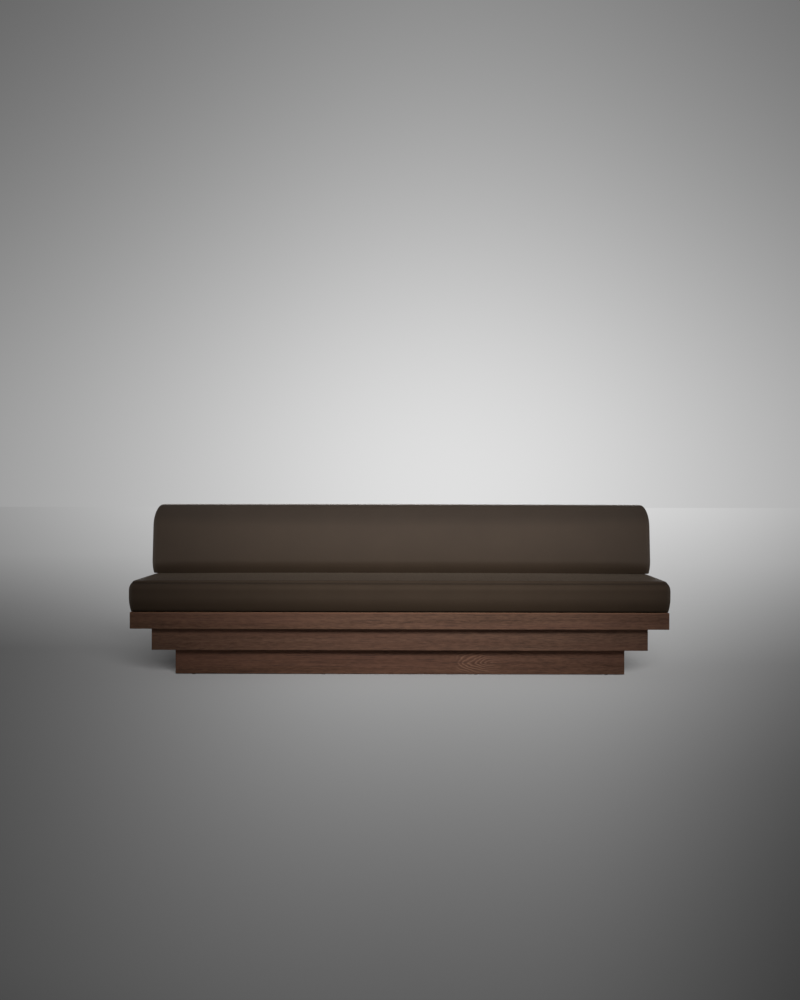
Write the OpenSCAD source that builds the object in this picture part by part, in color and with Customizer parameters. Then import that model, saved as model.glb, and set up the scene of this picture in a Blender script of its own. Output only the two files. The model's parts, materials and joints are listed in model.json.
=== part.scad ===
// Long sofa on a stepped plinth: three mitred oak tiers, one seat cushion and one back cushion.
// The back stands on steel posts that pass through the seat cushion, and lifts off them.
// Millimetres. +Z is up, the front faces -Y, and the origin is on the floor under the middle.

/* [Plinth] */
// Width of the top tier
base_w = 2400; // [2200:10:2600]
// Depth of the top tier
base_d = 830; // [800:10:900]
// Height of the top tier
top_h = 74; // [66:1:95]
// Height of the middle tier
mid_h = 103; // [92:1:125]
// Height of the bottom tier's boards
low_h = 118; // [90:1:140]
// How far the middle tier stands in from the top tier, on every side
mid_inset = 82.5; // [70:0.5:95]
// How far the bottom tier stands in from the middle tier, on every side
low_inset = 92.5; // [70:0.5:100]
// Thickness of the oak tier boards
board_t = 22; // [20:1:26]
// Bevel on the long outer edges of the boards
arris = 1; // [0.5:0.1:2]
// Thickness of the birch panels that close the tiers
panel_t = 18; // [15:1:20]
// Depth of the rebate that holds a panel's edge
rebate_d = 11; // [9:0.5:12]
// Height of the floor glides below the boards
glide_h = 3; // [2:0.5:6]
// Radius of a floor glide
glide_r = 9; // [7:0.5:9.5]

/* [Inner timber] */
// Thickness of the cross ribs
rib_t = 22; // [18:1:28]
// Distance from the outer cross ribs to the ends of the top tier
rib_end = 550; // [500:10:600]
// Number of cross ribs in each tier
rib_count = 4; // [4:2:6]
// Leg of the corner blocks' triangle
block_leg = 60; // [50:1:70]
// Thickness of the keel rail that carries the posts
keel_t = 30; // [26:1:36]
// Width of a mitre spline
spline_w = 20; // [14:1:20]
// Thickness of a mitre spline
spline_t = 4; // [3:0.5:4]

/* [Posts and fixings] */
// Number of steel posts
post_count = 3; // [3:2:5]
// Distance from the outer posts to the ends of the top tier
post_end = 300; // [250:10:350]
// Width of a post's flat bar
post_w = 60; // [50:1:70]
// Thickness of a post's flat bar
post_t = 12; // [10:1:14]
// Distance from a post's tip to the top rail of the back's frame
post_air = 47; // [30:1:80]
// Thread diameter of the post bolts
bolt_d = 10; // [8:1:12]
// Width across the flats of a bolt's head and nut
bolt_flats = 17; // [16:1:19]
// Height of a bolt's head
bolt_head_h = 6.4; // [5:0.1:7]
// Height of a nut
nut_h = 8; // [6:0.5:9]
// Thickness of a washer
washer_t = 2; // [1.5:0.1:2.5]
// Shank diameter of the wood screws
screw_d = 5; // [4:0.5:6]
// Head diameter of the wood screws
screw_head_d = 10; // [8:0.5:12]
// Length of the panel screws
screw_l = 45; // [35:1:48]

/* [Seat cushion] */
// Height of the seat cushion at its edge
seat_h = 140; // [120:1:160]
// Rise of the seat's middle above its edge
seat_crown = 10; // [4:1:16]
// How far the sides swell past the top tier
side_bulge = 8.5; // [4:0.1:12]
// How far the sides draw in at the base
base_tuck = 8.6; // [4:0.1:12]
// How much further the front draws in at the base
front_draw = 9; // [0:1:14]
// Height over which the base draws in
tuck_h = 64; // [50:1:80]
// Rounding of the top edge, across
roll_w = 31; // [22:1:36]
// Rounding of the top edge, down
roll_h = 51; // [40:1:56]
// Rounding of the upright corners, seen from above
seat_corner_r = 34; // [28:1:50]
// Depth of the sewn seam round the top edge
seam_d = 1.6; // [0.5:0.1:2]

/* [Back cushion] */
// Depth of the back cushion at its base
back_d = 270; // [250:5:290]
// Height of the back cushion at its ends
back_h = 333; // [310:1:350]
// Rise of the back's top edge in the middle
back_crown = 2; // [1:0.5:8]
// How far the front face leans back over its height
back_lean = 28; // [15:1:35]
// How far each end narrows below the rounding
back_taper = 3.5; // [1:0.5:6]
// Rounding of the upper corners, across
corner_w = 39; // [34:1:54]
// Rounding of the upper edges, down
corner_h = 102; // [90:1:125]
// Rounding of the top edge towards the front
front_roll = 72; // [60:1:80]
// Rounding of the top edge towards the rear
rear_roll = 58; // [45:1:66]
// How far the front draws in at the base
front_tuck = 22; // [12:1:26]
// How far the ends and the rear draw in at the base
end_tuck = 5; // [2:1:8]
// Height over which the back's base draws in
back_tuck_h = 62; // [40:1:70]
// Swell of the front face in the middle
front_swell = 8; // [3:1:12]
// Rounding of the upright corners, seen from above
back_corner_r = 36; // [28:1:50]

/* [Cushion layers] */
// Thickness of the fabric covers
cover_t = 2.5; // [2.2:0.1:3]
// Thickness of the fibre wrap under the covers
wrap_t = 10; // [7:0.5:11]
// Height of the firm lower foam layer in the seat
firm_h = 75; // [60:1:90]

/* [Back frame] */
// Depth of the frame's timber
frame_d = 40; // [36:1:50]
// Height of the bottom rail
bottom_rail_h = 60; // [50:1:70]
// Height of the top rail
top_rail_h = 40; // [35:1:50]
// Width of the uprights
stile_w = 45; // [40:1:60]
// Distance from the frame to the ends of the cushion
frame_end = 110; // [90:1:130]
// Distance from the frame to the top of the cushion
frame_top = 40; // [36:1:50]
// Distance from the frame to the base of the cushion
frame_base = 30; // [28:1:36]
// Thickness of the front panel
front_panel_t = 6; // [4:0.5:9]
// Thickness of the rear panel
rear_panel_t = 4; // [3:0.5:6]
// Wall of the steel post sockets
socket_wall = 3; // [2:0.5:4]
// Thickness of a socket's flange
flange_t = 4; // [3:0.5:5]
// Width of a socket's flange
flange_w = 120; // [110:1:130]

/* [Zips] */
// Distance from a zip's ends to the cushion's ends
zip_end = 120; // [90:10:240]
// Height of a zip's two tapes together
zip_h = 20; // [16:1:20]
// Length of a slider
slider_l = 12; // [9:1:15]
// Height of a slider
slider_h = 10; // [8:1:12]
// How far a slider stands out from its zip
slider_t = 3; // [2.5:0.1:4]
// Length of a slider's pull tab
tab_l = 26; // [20:1:30]
// Width of a slider's pull tab
tab_w = 6; // [5:0.5:8]
// Thickness of a slider's pull tab
tab_t = 1.2; // [1:0.1:1.8]

/* [Hidden] */
$fn = 48;

// Colours of the finishes.
oak_colour = [0.34, 0.25, 0.21];
ply_colour = [0.78, 0.66, 0.48];
steel_colour = [0.33, 0.33, 0.34];
zinc_colour = [0.72, 0.72, 0.70];
nylon_colour = [0.12, 0.12, 0.12];
fabric_colour = [0.27, 0.235, 0.205];
fibre_colour = [0.93, 0.93, 0.91];
foam_colour = [0.88, 0.85, 0.66];
firm_foam_colour = [0.62, 0.74, 0.80];

// Clearances and the overrun of cuts.
cut = 1;
glue_gap = 0.1;
screw_gap = 0.12;
bolt_gap = 0.25;
soft_gap = 0.3;
slot_gap = 1.5;
socket_gap = 0.8;

// Plinth levels and tier sizes.
mid_w = base_w - 2 * mid_inset;
mid_d = base_d - 2 * mid_inset;
low_w = mid_w - 2 * low_inset;
low_d = mid_d - 2 * low_inset;
low_z = glide_h;
mid_z = low_z + low_h;
top_z = mid_z + mid_h;
deck_z = top_z + top_h;

// Inside the boards of each tier.
low_in_d = low_d - 2 * board_t;
mid_in_d = mid_d - 2 * board_t;
mid_in_w = mid_w - 2 * board_t;
top_in_d = base_d - 2 * board_t;
low_rib_z = low_z;
mid_rib_z = mid_z + panel_t;
top_rib_z = top_z + panel_t;
rib_span = base_w - 2 * rib_end;
post_span = base_w - 2 * post_end;
low_rib_h = low_h;
mid_rib_h = mid_h - panel_t;
top_rib_h = top_h - 2 * panel_t;
rib_xs = [for (i = [0 : rib_count - 1]) (i / (rib_count - 1) - 1 / 2) * rib_span];

// Posts stand on the middle soffit, behind the keel rail and in front of the rear board.
bolt_room = bolt_head_h + washer_t + 2 * bolt_gap;
bolt_air = 2.1;
post_y = mid_in_d / 2 - bolt_room - bolt_air - post_t / 2;
post_xs = [for (i = [0 : post_count - 1]) (i / (post_count - 1) - 1 / 2) * post_span];
keel_y = post_y - post_t / 2 - keel_t;
bolt_level_shares = [0.27, 0.73];
bolt_zs = [for (s = bolt_level_shares) mid_rib_z + s * mid_rib_h];
washer_share = 0.62;
washer_r = bolt_flats * washer_share;

// Wood screws.
countersink_h = (screw_head_d - screw_d) / 2;
screw_head_rim = 0.8;
rib_screw_inset = 62;
mid_screw_y = keel_y - rib_screw_inset / 2;
block_screw_share = 0.32;

// Floor glides under the front and rear boards of the bottom tier, nailed up into them.
glide_bevel = 0.8;
glide_nail_r = 1.25;
glide_nail_l = 14;
glide_place_shares = [-0.46, -0.17, 0.17, 0.46];

// Cushion levels.
foam_in = cover_t + wrap_t + 2 * soft_gap;
seat_top_z = deck_z + seat_h;
back_z = seat_top_z + soft_gap;
back_top_z = back_z + back_h;
front_y = -base_d / 2 - side_bulge;
rear_y = base_d / 2 + side_bulge - slider_t;
half_w = base_w / 2 + side_bulge;
back_front_y = base_d / 2 - back_d;
back_rear_y = rear_y;

// Shares that shape the crowns and the rounding of the rings' corners.
crown_power = 0.8;
least_corner_share = 0.15;
corner_fade_share = 0.7;
least_strip_share = 0.45;
bend_share = 0.85;

// Outline fineness: segments round a corner, along the width and along the depth.
fine_mesh = [4, 12, 4];
plain_mesh = [2, 3, 1];

// Rows of the seat cushion: shares of the tuck's height, angles of the edge roll, shares of the way
// from the roll to the end of the crown, and from there to the middle line.
seat_tuck_shares = [0, 0.12, 0.3, 0.55, 0.8];
roll_angles = [0, 20, 38, 53, 66, 78, 90];
seam_angle = 53;
seam_spread = 16;
seat_edge_shares = [0.14, 0.45, 1];
seat_middle_shares = [0.35, 0.85];
crown_in = rear_y - back_front_y - seat_corner_r * least_corner_share;

// Rows of the back cushion: shares of the tuck's height, of the plain wall and of the edge roll.
back_tuck_shares = [0, 0.12, 0.32, 0.62, 1];
back_wall_shares = [0.34, 0.67];
back_roll_angles = [0, 18, 34, 48, 60, 70, 80, 90];
back_cap_shares = [0.3, 0.62, 0.9];

// Back frame, level with the posts.
frame_w = base_w - 2 * frame_end;
frame_z = back_z + frame_base;
frame_top_z = back_top_z - frame_top;
frame_y = post_y - frame_d / 2;
stile_z = frame_z + bottom_rail_h;
stile_h = frame_top_z - top_rail_h - stile_z;
inner_stile_x = post_span / (post_count - 1) / 2;
socket_w = post_w + 2 * (socket_gap + socket_wall);
socket_d = post_t + 2 * (socket_gap + socket_wall);
post_top_z = frame_top_z - top_rail_h - post_air;
socket_top_z = post_top_z + socket_wall;
flange_screw_l = 32;
flange_screw_x = (socket_w + flange_w) / 4;
post_lead = 5;
bolt_spare = 3;

// Zips in the rear of the covers.
zip_l = base_w - 2 * zip_end;
seat_zip_z = deck_z + tuck_h + zip_h / 2 + cut;
back_zip_z = back_z + back_tuck_h + zip_h / 2 + cut;
zip_sunk = 0.4;
slider_edge = 0.8;
slider_lift = 0.2;
slider_start = zip_l / 2 - slider_l;

// A board's section: the outer face on the left with its bevels, the rebates on the right.
function board_section(h, foot_rebate, head_rebate) = concat(
    [[arris, 0]],
    foot_rebate > 0 ? [[board_t - rebate_d, 0], [board_t - rebate_d, foot_rebate], [board_t, foot_rebate]]
        : [[board_t, 0]],
    head_rebate > 0
        ? [[board_t, h - head_rebate], [board_t - rebate_d, h - head_rebate], [board_t - rebate_d, h]]
        : [[board_t, h]],
    [[arris, h], [0, h - arris], [0, arris]]
);

// The front board of a tier w wide and d deep, mitred at both ends.
module front_board(w, d, z, h, foot_rebate, head_rebate) {
    difference() {
        intersection() {
            translate([-w / 2, -d / 2, z])
                rotate([90, 0, 90])
                    linear_extrude(w) polygon(board_section(h, foot_rebate, head_rebate));
            translate([0, -d / 2, z - cut])
                linear_extrude(h + 2 * cut)
                    polygon([
                        [-w / 2 - cut, -cut], [w / 2 + cut, -cut],
                        [w / 2 - board_t - cut, board_t + cut], [-w / 2 + board_t + cut, board_t + cut]
                    ]);
        }
        for (side = [-1, 1])
            mitre_spline(side, -1, w, d, z, h, glue_gap);
    }
}

// One board of a tier, turned to the side that it closes.
module tier_board(side, w, d, z, h, foot_rebate, head_rebate) {
    turn = side == "front" ? 0 : side == "right" ? 90 : side == "rear" ? 180 : 270;
    along = turn % 180 == 0 ? w : d;
    across = turn % 180 == 0 ? d : w;
    rotate([0, 0, turn]) front_board(along, across, z, h, foot_rebate, head_rebate);
}

// A loose tongue across the mitre of the corner on the sides sx and sy, grown by a gap where it is a slot.
module mitre_spline(sx, sy, w, d, z, h, gap) {
    stop = panel_t + spline_t;
    translate([sx * w / 2, sy * d / 2, z + stop - gap])
        rotate([0, 0, atan2(-sy, -sx)])
            translate([board_t / sqrt(2), 0, 0])
                linear_extrude(h - 2 * stop + 2 * gap)
                    square([spline_t + 2 * gap, spline_w + 2 * gap], center = true);
}

module tier_splines(w, d, z, h) {
    for (sx = [-1, 1], sy = [-1, 1])
        mitre_spline(sx, sy, w, d, z, h, 0);
}

// Triangular glue blocks inside the four corners of a tier, with their screw holes.
module corner_blocks(w, d, z, h, screw_z) {
    in_x = w / 2 - board_t;
    in_y = d / 2 - board_t;
    difference() {
        for (sx = [-1, 1], sy = [-1, 1])
            translate([sx * in_x, sy * in_y, z])
                linear_extrude(h)
                    polygon([[0, 0], [-sx * block_leg, 0], [0, -sy * block_leg]]);
        block_screws(w, d, screw_z, screw_gap);
    }
}

// A countersunk wood screw, head up at z = 0, grown by a gap where it is a hole.
module wood_screw(length, gap) {
    rotate_extrude()
        polygon([
            [0, -length - gap], [screw_d / 2 + gap, -length - gap + screw_d / 2],
            [screw_d / 2 + gap, -screw_head_rim - countersink_h],
            [screw_head_d / 2 + gap, -screw_head_rim], [screw_head_d / 2 + gap, gap], [0, gap]
        ]);
}

// Screws into the corner blocks of a tier, heads at screw_z.
module block_screws(w, d, screw_z, gap) {
    reach = block_leg * block_screw_share;
    for (sx = [-1, 1], sy = [-1, 1])
        translate([sx * (w / 2 - board_t - reach), sy * (d / 2 - board_t - reach), screw_z])
            wood_screw(screw_l, gap);
}

// Two screws into each cross rib of a tier, at y and -y.
module rib_screws(y, screw_z, gap) {
    for (x = rib_xs, side = [-1, 1])
        translate([x, side * y, screw_z]) wood_screw(screw_l, gap);
}

// All screws that hold a panel down on the tier below it.
module middle_screw_set(gap) {
    block_screws(low_w, low_d, mid_rib_z, gap);
    rib_screws(low_in_d / 2 - rib_screw_inset, mid_rib_z, gap);
}

module top_screw_set(gap) {
    block_screws(mid_w, mid_d, top_rib_z, gap);
    rib_screws(mid_screw_y, top_rib_z, gap);
}

module deck_screw_set(gap) {
    block_screws(base_w, base_d, deck_z, gap);
    rib_screws(top_in_d / 2 - rib_screw_inset, deck_z, gap);
}

// Cross ribs of a tier, from the front board to the rear one.
module cross_ribs(in_d, z, h) {
    for (x = rib_xs)
        translate([x - rib_t / 2, -in_d / 2, z]) cube([rib_t, in_d, h]);
}

// A panel let into the rebates of a tier w wide and d deep.
module let_in_panel(w, d, z) {
    edge = board_t - rebate_d + glue_gap;
    translate([-w / 2 + edge, -d / 2 + edge, z])
        cube([w - 2 * edge, d - 2 * edge, panel_t]);
}

// Upright slots round the posts, from z to z + h, wider than the post by a gap.
module post_slots(z, h, gap) {
    for (x = post_xs)
        translate([x - post_w / 2 - gap, post_y - post_t / 2 - gap, z])
            cube([post_w + 2 * gap, post_t + 2 * gap, h]);
}

module post_bolt_holes() {
    for (x = post_xs, z = bolt_zs)
        translate([x, keel_y - cut, z])
            rotate([-90, 0, 0])
                cylinder(h = keel_t + post_t + 2 * cut, r = bolt_d / 2 + bolt_gap);
}

// A ring of points round a cushion: x from -xh to xh, y from yf to yr, corners rounded by r.
// Both ends have a point at bend_y, or in front of the rear corner where the ring stops short of it.
function side_points(a, b, n) = [for (i = [1 : 1 : n - 1]) a + (b - a) * i / n];
function corner_points(cx, cy, r, a, n) =
    [for (i = [0 : n]) [cx + r * cos(a + 90 * i / n), cy + r * sin(a + 90 * i / n)]];
function ring(xh, yf, yr, r, mesh, bend_y) =
    let (n = mesh[0], x = xh - r, f = yf + r, b = yr - r, bend = min(bend_y, f + bend_share * (b - f)))
    concat(
        corner_points(x, f, r, -90, n), side_points([xh, f], [xh, bend], mesh[2]), [[xh, bend]],
        corner_points(x, b, r, 0, n), side_points([x, yr], [-x, yr], mesh[1]),
        corner_points(-x, b, r, 90, n), [[-xh, bend]], side_points([-xh, bend], [-xh, f], mesh[2]),
        corner_points(-x, f, r, 180, n), side_points([-x, yf], [x, yf], mesh[1])
    );

// Two triangles between four corners of the skin, with the diagonal mirrored on the left side.
function skin_pair(a, b, over_a, over_b, on_right) =
    on_right ? [[a, over_a, over_b], [a, over_b, b]] : [[a, over_a, b], [over_a, over_b, b]];

// A closed skin over a stack of rings with equally many points, with a fan to a point at each end.
module ring_stack(rings, foot_point, head_point) {
    n = len(rings[0]);
    last = len(rings) - 1;
    foot = n * (last + 1);
    head = foot + 1;
    polyhedron(
        points = concat([for (r = rings) each r], [foot_point, head_point]),
        faces = concat(
            [for (i = [0 : n - 1]) [foot, i, (i + 1) % n]],
            [for (k = [0 : last - 1], i = [0 : n - 1])
                let (j = (i + 1) % n, up = (k + 1) * n)
                each skin_pair(k * n + i, k * n + j, up + i, up + j, rings[k][i][0] + rings[k][j][0] >= 0)],
            [for (i = [0 : n - 1]) [head, last * n + (i + 1) % n, last * n + i]]
        )
    );
}

// Seat cushion. Its wall draws in at the base, swells above and rolls over at the top, with a seam
// sewn round the roll. Its top is crowned as far back as the back cushion, and flat under that.
function tuck_share(up) = up < tuck_h ? pow(1 - up / tuck_h, 2) : 0;
function seam_dip(a) = seam_d * pow(max(0, 1 - abs(a - seam_angle) / seam_spread), 2);
function seat_rise(x, y) =
    let (v = (y - front_y) / (back_front_y - front_y), u = abs(x) / half_w)
    v > 0 && v < 1 ? seat_crown * pow(sin(180 * v), crown_power) * (1 - pow(u, 3)) : 0;

// Rows of the seat's skin, set in by s, as [inset, height above the deck, share of the crown].
function seat_rows(s) = concat(
    [for (t = seat_tuck_shares) [s + base_tuck * tuck_share(t * tuck_h), max(t * tuck_h, s + soft_gap), 0]],
    [for (a = roll_angles)
        [
            roll_w - (roll_w - s - seam_dip(a)) * cos(a),
            seat_h - roll_h + (roll_h - s - seam_dip(a)) * sin(a),
            a / 90
        ]],
    [for (t = seat_edge_shares) [roll_w + t * (crown_in - roll_w), seat_h - s, 1]],
    [for (t = seat_middle_shares) [crown_in + t * ((rear_y - front_y) / 2 - crown_in), seat_h - s, 1]]
);
function seat_ring(row, mesh) =
    let (
        r = max(seat_corner_r - row[0], seat_corner_r * least_corner_share),
        yf = front_y + row[0] + front_draw * tuck_share(row[1])
    )
    [for (p = ring(half_w - row[0], yf, rear_y - row[0], r, mesh, back_front_y))
        [p[0], p[1], deck_z + row[1] + row[2] * seat_rise(p[0], p[1])]];

module seat_form(s, mesh) {
    rows = seat_rows(s);
    middle_y = (front_y + rear_y) / 2;
    kept = [for (i = [0 : len(rows) - 1])
        if (i == 0 || rows[i][2] > 0 || rows[i][1] > rows[i - 1][1] + soft_gap) rows[i]];
    ring_stack(
        [for (row = kept) seat_ring(row, mesh)],
        [0, middle_y, deck_z + kept[0][1]],
        [0, middle_y, deck_z + seat_h - s + seat_rise(0, middle_y)]
    );
}

// Back cushion. Its front leans back, swells in the middle and draws in at the base, and all four
// sides roll over at the top, which rises a little in the middle.
function back_tuck(t) = pow(1 - t, 2);
function back_lean_at(up) = back_lean * up / back_h;
function back_taper_at(up) = back_taper * max(0, up - back_tuck_h) / (back_h - back_tuck_h);
function back_swell_at(x, up, y_share) =
    front_swell * (1 - pow(abs(x) / half_w, 4)) * sin(180 * min(1, up / back_h)) * max(0, 1 - 2 * y_share);
function back_rise(x, share) = back_crown * share * (1 - pow(x / half_w, 2));

// Rows of the back's skin, set in by s, as [end inset, front inset, rear inset, height, top share].
function back_row(end_in, front_in, rear_in, up, top_share) =
    [end_in + back_taper_at(up), front_in + back_lean_at(up), rear_in, up, top_share];
function back_rows(s) =
    let (
        wall_h = back_h - corner_h - back_tuck_h,
        deep = (back_rear_y - back_front_y - back_lean - front_roll - rear_roll) / 2
    )
    concat(
        [for (t = back_tuck_shares)
            back_row(
                s + end_tuck * back_tuck(t), s + front_tuck * back_tuck(t), s + end_tuck * back_tuck(t),
                max(t * back_tuck_h, s), 0
            )],
        [for (t = back_wall_shares) back_row(s, s, s, back_tuck_h + t * wall_h, 0)],
        [for (a = back_roll_angles)
            back_row(
                corner_w - (corner_w - s) * cos(a), front_roll - (front_roll - s) * cos(a),
                rear_roll - (rear_roll - s) * cos(a), back_h - corner_h + (corner_h - s) * sin(a), sin(a)
            )],
        [for (t = back_cap_shares)
            back_row(corner_w + t * deep, front_roll + t * deep, rear_roll + t * deep, back_h - s, 1)]
    );
function back_ring(row, mesh) =
    let (
        yf = back_front_y + row[1],
        yr = back_rear_y - row[2],
        r = max(back_corner_r - row[0] * corner_fade_share, back_corner_r * least_corner_share)
    )
    [for (p = ring(half_w - row[0], yf, yr, min(r, (yr - yf) * least_strip_share), mesh, (yf + yr) / 2))
        [
            p[0],
            p[1] - (1 - row[4]) * back_swell_at(p[0], row[3], (p[1] - yf) / (yr - yf)),
            back_z + row[3] + back_rise(p[0], row[4])
        ]];

module back_form(s, mesh) {
    rows = back_rows(s);
    kept = [for (i = [0 : len(rows) - 1])
        if (i == 0 || rows[i][4] > 0 || rows[i][3] > rows[i - 1][3] + soft_gap) rows[i]];
    top_row = kept[len(kept) - 1];
    ring_stack(
        [for (row = kept) back_ring(row, mesh)],
        [0, (back_front_y + back_rear_y) / 2, back_z + kept[0][3]],
        [0, (back_front_y + top_row[1] + back_rear_y - top_row[2]) / 2, back_z + back_h - s + back_crown]
    );
}

// The opening for a zip in the rear of a cover, whose outer face is at y.
module zip_opening(y, z) {
    translate([-zip_l / 2, y - cover_t - soft_gap / 2, z - zip_h / 2])
        cube([zip_l, 2 * cover_t, zip_h]);
}

// A closed zip in that opening, sunk a little below the fabric.
module zip_strip(y, z) {
    translate([-zip_l / 2 + soft_gap, y - cover_t, z - zip_h / 2 + soft_gap])
        cube([zip_l - 2 * soft_gap, cover_t - zip_sunk, zip_h - 2 * soft_gap]);
}

// A slider at the left end of its zip, with a round-ended pull tab hanging from its outer face.
module zip_slider_at(y, z) {
    body_t = slider_t + zip_sunk - slider_lift;
    tab_drop = tab_l - tab_w;
    translate([-slider_start, y - zip_sunk + slider_lift, z]) {
        linear_extrude(slider_h, center = true)
            polygon([
                [-slider_l / 2, 0], [slider_l / 2, 0],
                [slider_l / 2, body_t - slider_edge], [slider_l / 2 - slider_edge, body_t],
                [-slider_l / 2 + slider_edge, body_t], [-slider_l / 2, body_t - slider_edge]
            ]);
        translate([-tab_w / 2, body_t - tab_t, -slider_h / 2 - tab_drop])
            cube([tab_w, tab_t, tab_drop]);
        translate([0, body_t, -slider_h / 2 - tab_drop])
            rotate([90, 0, 0]) cylinder(h = tab_t, r = tab_w / 2);
    }
}

// A floor glide's outline: a round foot, flat underneath, and its nail.
module floor_glide(gap) {
    rotate_extrude()
        polygon([
            [0, 0], [glide_r - glide_bevel, 0], [glide_r, glide_bevel], [glide_r, glide_h],
            [glide_nail_r + gap, glide_h], [glide_nail_r + gap, glide_h + glide_nail_l + gap],
            [0, glide_h + glide_nail_l + gap]
        ]);
}

module floor_glide_set(gap) {
    for (share = glide_place_shares, side = [-1, 1])
        translate([share * low_w, side * (low_d - board_t) / 2, 0]) floor_glide(gap);
}

// A hexagon across its flats.
module hexagon_bar(flats, h) {
    cylinder(h = h, r = flats / 2 / cos(30), $fn = 6);
}

// Bottom tier: four mitred boards, plain inside, the long ones drilled for the glides' nails.
module lower_front_board() {
    color(oak_colour)
        difference() {
            tier_board("front", low_w, low_d, low_z, low_h, 0, 0);
            floor_glide_set(glue_gap);
        }
}

module lower_rear_board() {
    color(oak_colour)
        difference() {
            tier_board("rear", low_w, low_d, low_z, low_h, 0, 0);
            floor_glide_set(glue_gap);
        }
}

module lower_left_board() {
    color(oak_colour) tier_board("left", low_w, low_d, low_z, low_h, 0, 0);
}

module lower_right_board() {
    color(oak_colour) tier_board("right", low_w, low_d, low_z, low_h, 0, 0);
}

// Middle tier: rebated at the foot for its soffit.
module middle_front_board() {
    color(oak_colour) tier_board("front", mid_w, mid_d, mid_z, mid_h, panel_t, 0);
}

module middle_rear_board() {
    color(oak_colour) tier_board("rear", mid_w, mid_d, mid_z, mid_h, panel_t, 0);
}

module middle_left_board() {
    color(oak_colour) tier_board("left", mid_w, mid_d, mid_z, mid_h, panel_t, 0);
}

module middle_right_board() {
    color(oak_colour) tier_board("right", mid_w, mid_d, mid_z, mid_h, panel_t, 0);
}

// Top tier: rebated at the foot for its soffit and at the head for the deck.
module top_front_board() {
    color(oak_colour) tier_board("front", base_w, base_d, top_z, top_h, panel_t, panel_t);
}

module top_rear_board() {
    color(oak_colour) tier_board("rear", base_w, base_d, top_z, top_h, panel_t, panel_t);
}

module top_left_board() {
    color(oak_colour) tier_board("left", base_w, base_d, top_z, top_h, panel_t, panel_t);
}

module top_right_board() {
    color(oak_colour) tier_board("right", base_w, base_d, top_z, top_h, panel_t, panel_t);
}

module mitre_splines() {
    color(ply_colour) {
        tier_splines(low_w, low_d, low_z, low_h);
        tier_splines(mid_w, mid_d, mid_z, mid_h);
        tier_splines(base_w, base_d, top_z, top_h);
    }
}

module lower_corner_blocks() {
    color(ply_colour) corner_blocks(low_w, low_d, low_rib_z, low_rib_h, mid_rib_z);
}

module middle_corner_blocks() {
    color(ply_colour) corner_blocks(mid_w, mid_d, mid_rib_z, mid_rib_h, top_rib_z);
}

module top_corner_blocks() {
    color(ply_colour) corner_blocks(base_w, base_d, top_rib_z, top_rib_h, deck_z);
}

module lower_ribs() {
    color(ply_colour)
        difference() {
            cross_ribs(low_in_d, low_rib_z, low_rib_h);
            middle_screw_set(screw_gap);
        }
}

// The middle ribs are halved from below over the keel rail.
module middle_ribs() {
    color(ply_colour)
        difference() {
            cross_ribs(mid_in_d, mid_rib_z, mid_rib_h);
            translate([-mid_in_w / 2, keel_y - glue_gap, mid_rib_z - cut])
                cube([mid_in_w, keel_t + 2 * glue_gap, mid_rib_h / 2 + cut]);
            top_screw_set(screw_gap);
        }
}

module top_ribs() {
    color(ply_colour)
        difference() {
            cross_ribs(top_in_d, top_rib_z, top_rib_h);
            deck_screw_set(screw_gap);
        }
}

// The keel rail runs between the corner blocks and is halved from above under the ribs.
module keel_rail() {
    keel_l = mid_in_w - 2 * block_leg;
    color(ply_colour)
        difference() {
            translate([-keel_l / 2, keel_y, mid_rib_z]) cube([keel_l, keel_t, mid_rib_h]);
            for (x = rib_xs)
                translate([x - rib_t / 2 - glue_gap, keel_y - cut, mid_rib_z + mid_rib_h / 2])
                    cube([rib_t + 2 * glue_gap, keel_t + 2 * cut, mid_rib_h]);
            post_bolt_holes();
        }
}

module middle_soffit() {
    color(oak_colour)
        difference() {
            let_in_panel(mid_w, mid_d, mid_z);
            middle_screw_set(screw_gap);
        }
}

module top_soffit() {
    color(oak_colour)
        difference() {
            let_in_panel(base_w, base_d, top_z);
            top_screw_set(screw_gap);
            post_slots(top_z - cut, panel_t + 2 * cut, slot_gap);
        }
}

module seat_deck() {
    color(ply_colour)
        difference() {
            let_in_panel(base_w, base_d, deck_z - panel_t);
            deck_screw_set(screw_gap);
            post_slots(deck_z - panel_t - cut, panel_t + 2 * cut, slot_gap);
        }
}

module middle_tier_screws() {
    color(zinc_colour) middle_screw_set(0);
}

module top_tier_screws() {
    color(zinc_colour) top_screw_set(0);
}

module deck_screws() {
    color(zinc_colour) deck_screw_set(0);
}

module floor_glides() {
    color(nylon_colour) floor_glide_set(0);
}

// Flat steel bars that stand on the middle soffit, bolted to the keel rail.
module back_posts() {
    color(steel_colour)
        difference() {
            for (x = post_xs)
                translate([x, post_y + post_t / 2, 0])
                    rotate([90, 0, 0])
                        linear_extrude(post_t)
                            polygon([
                                [-post_w / 2, mid_rib_z], [post_w / 2, mid_rib_z],
                                [post_w / 2, post_top_z - post_lead], [post_w / 2 - post_lead, post_top_z],
                                [-post_w / 2 + post_lead, post_top_z], [-post_w / 2, post_top_z - post_lead]
                            ]);
            post_bolt_holes();
        }
}

// Bolts pass from the rear of the posts through the keel rail.
module post_bolts() {
    head_y = post_y + post_t / 2 + washer_t;
    shank_l = post_t + keel_t + 2 * washer_t + nut_h + bolt_spare;
    color(zinc_colour)
        for (x = post_xs, z = bolt_zs)
            translate([x, head_y, z]) {
                rotate([-90, 0, 0]) hexagon_bar(bolt_flats, bolt_head_h);
                rotate([90, 0, 0]) cylinder(h = shank_l, r = bolt_d / 2);
            }
}

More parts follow.
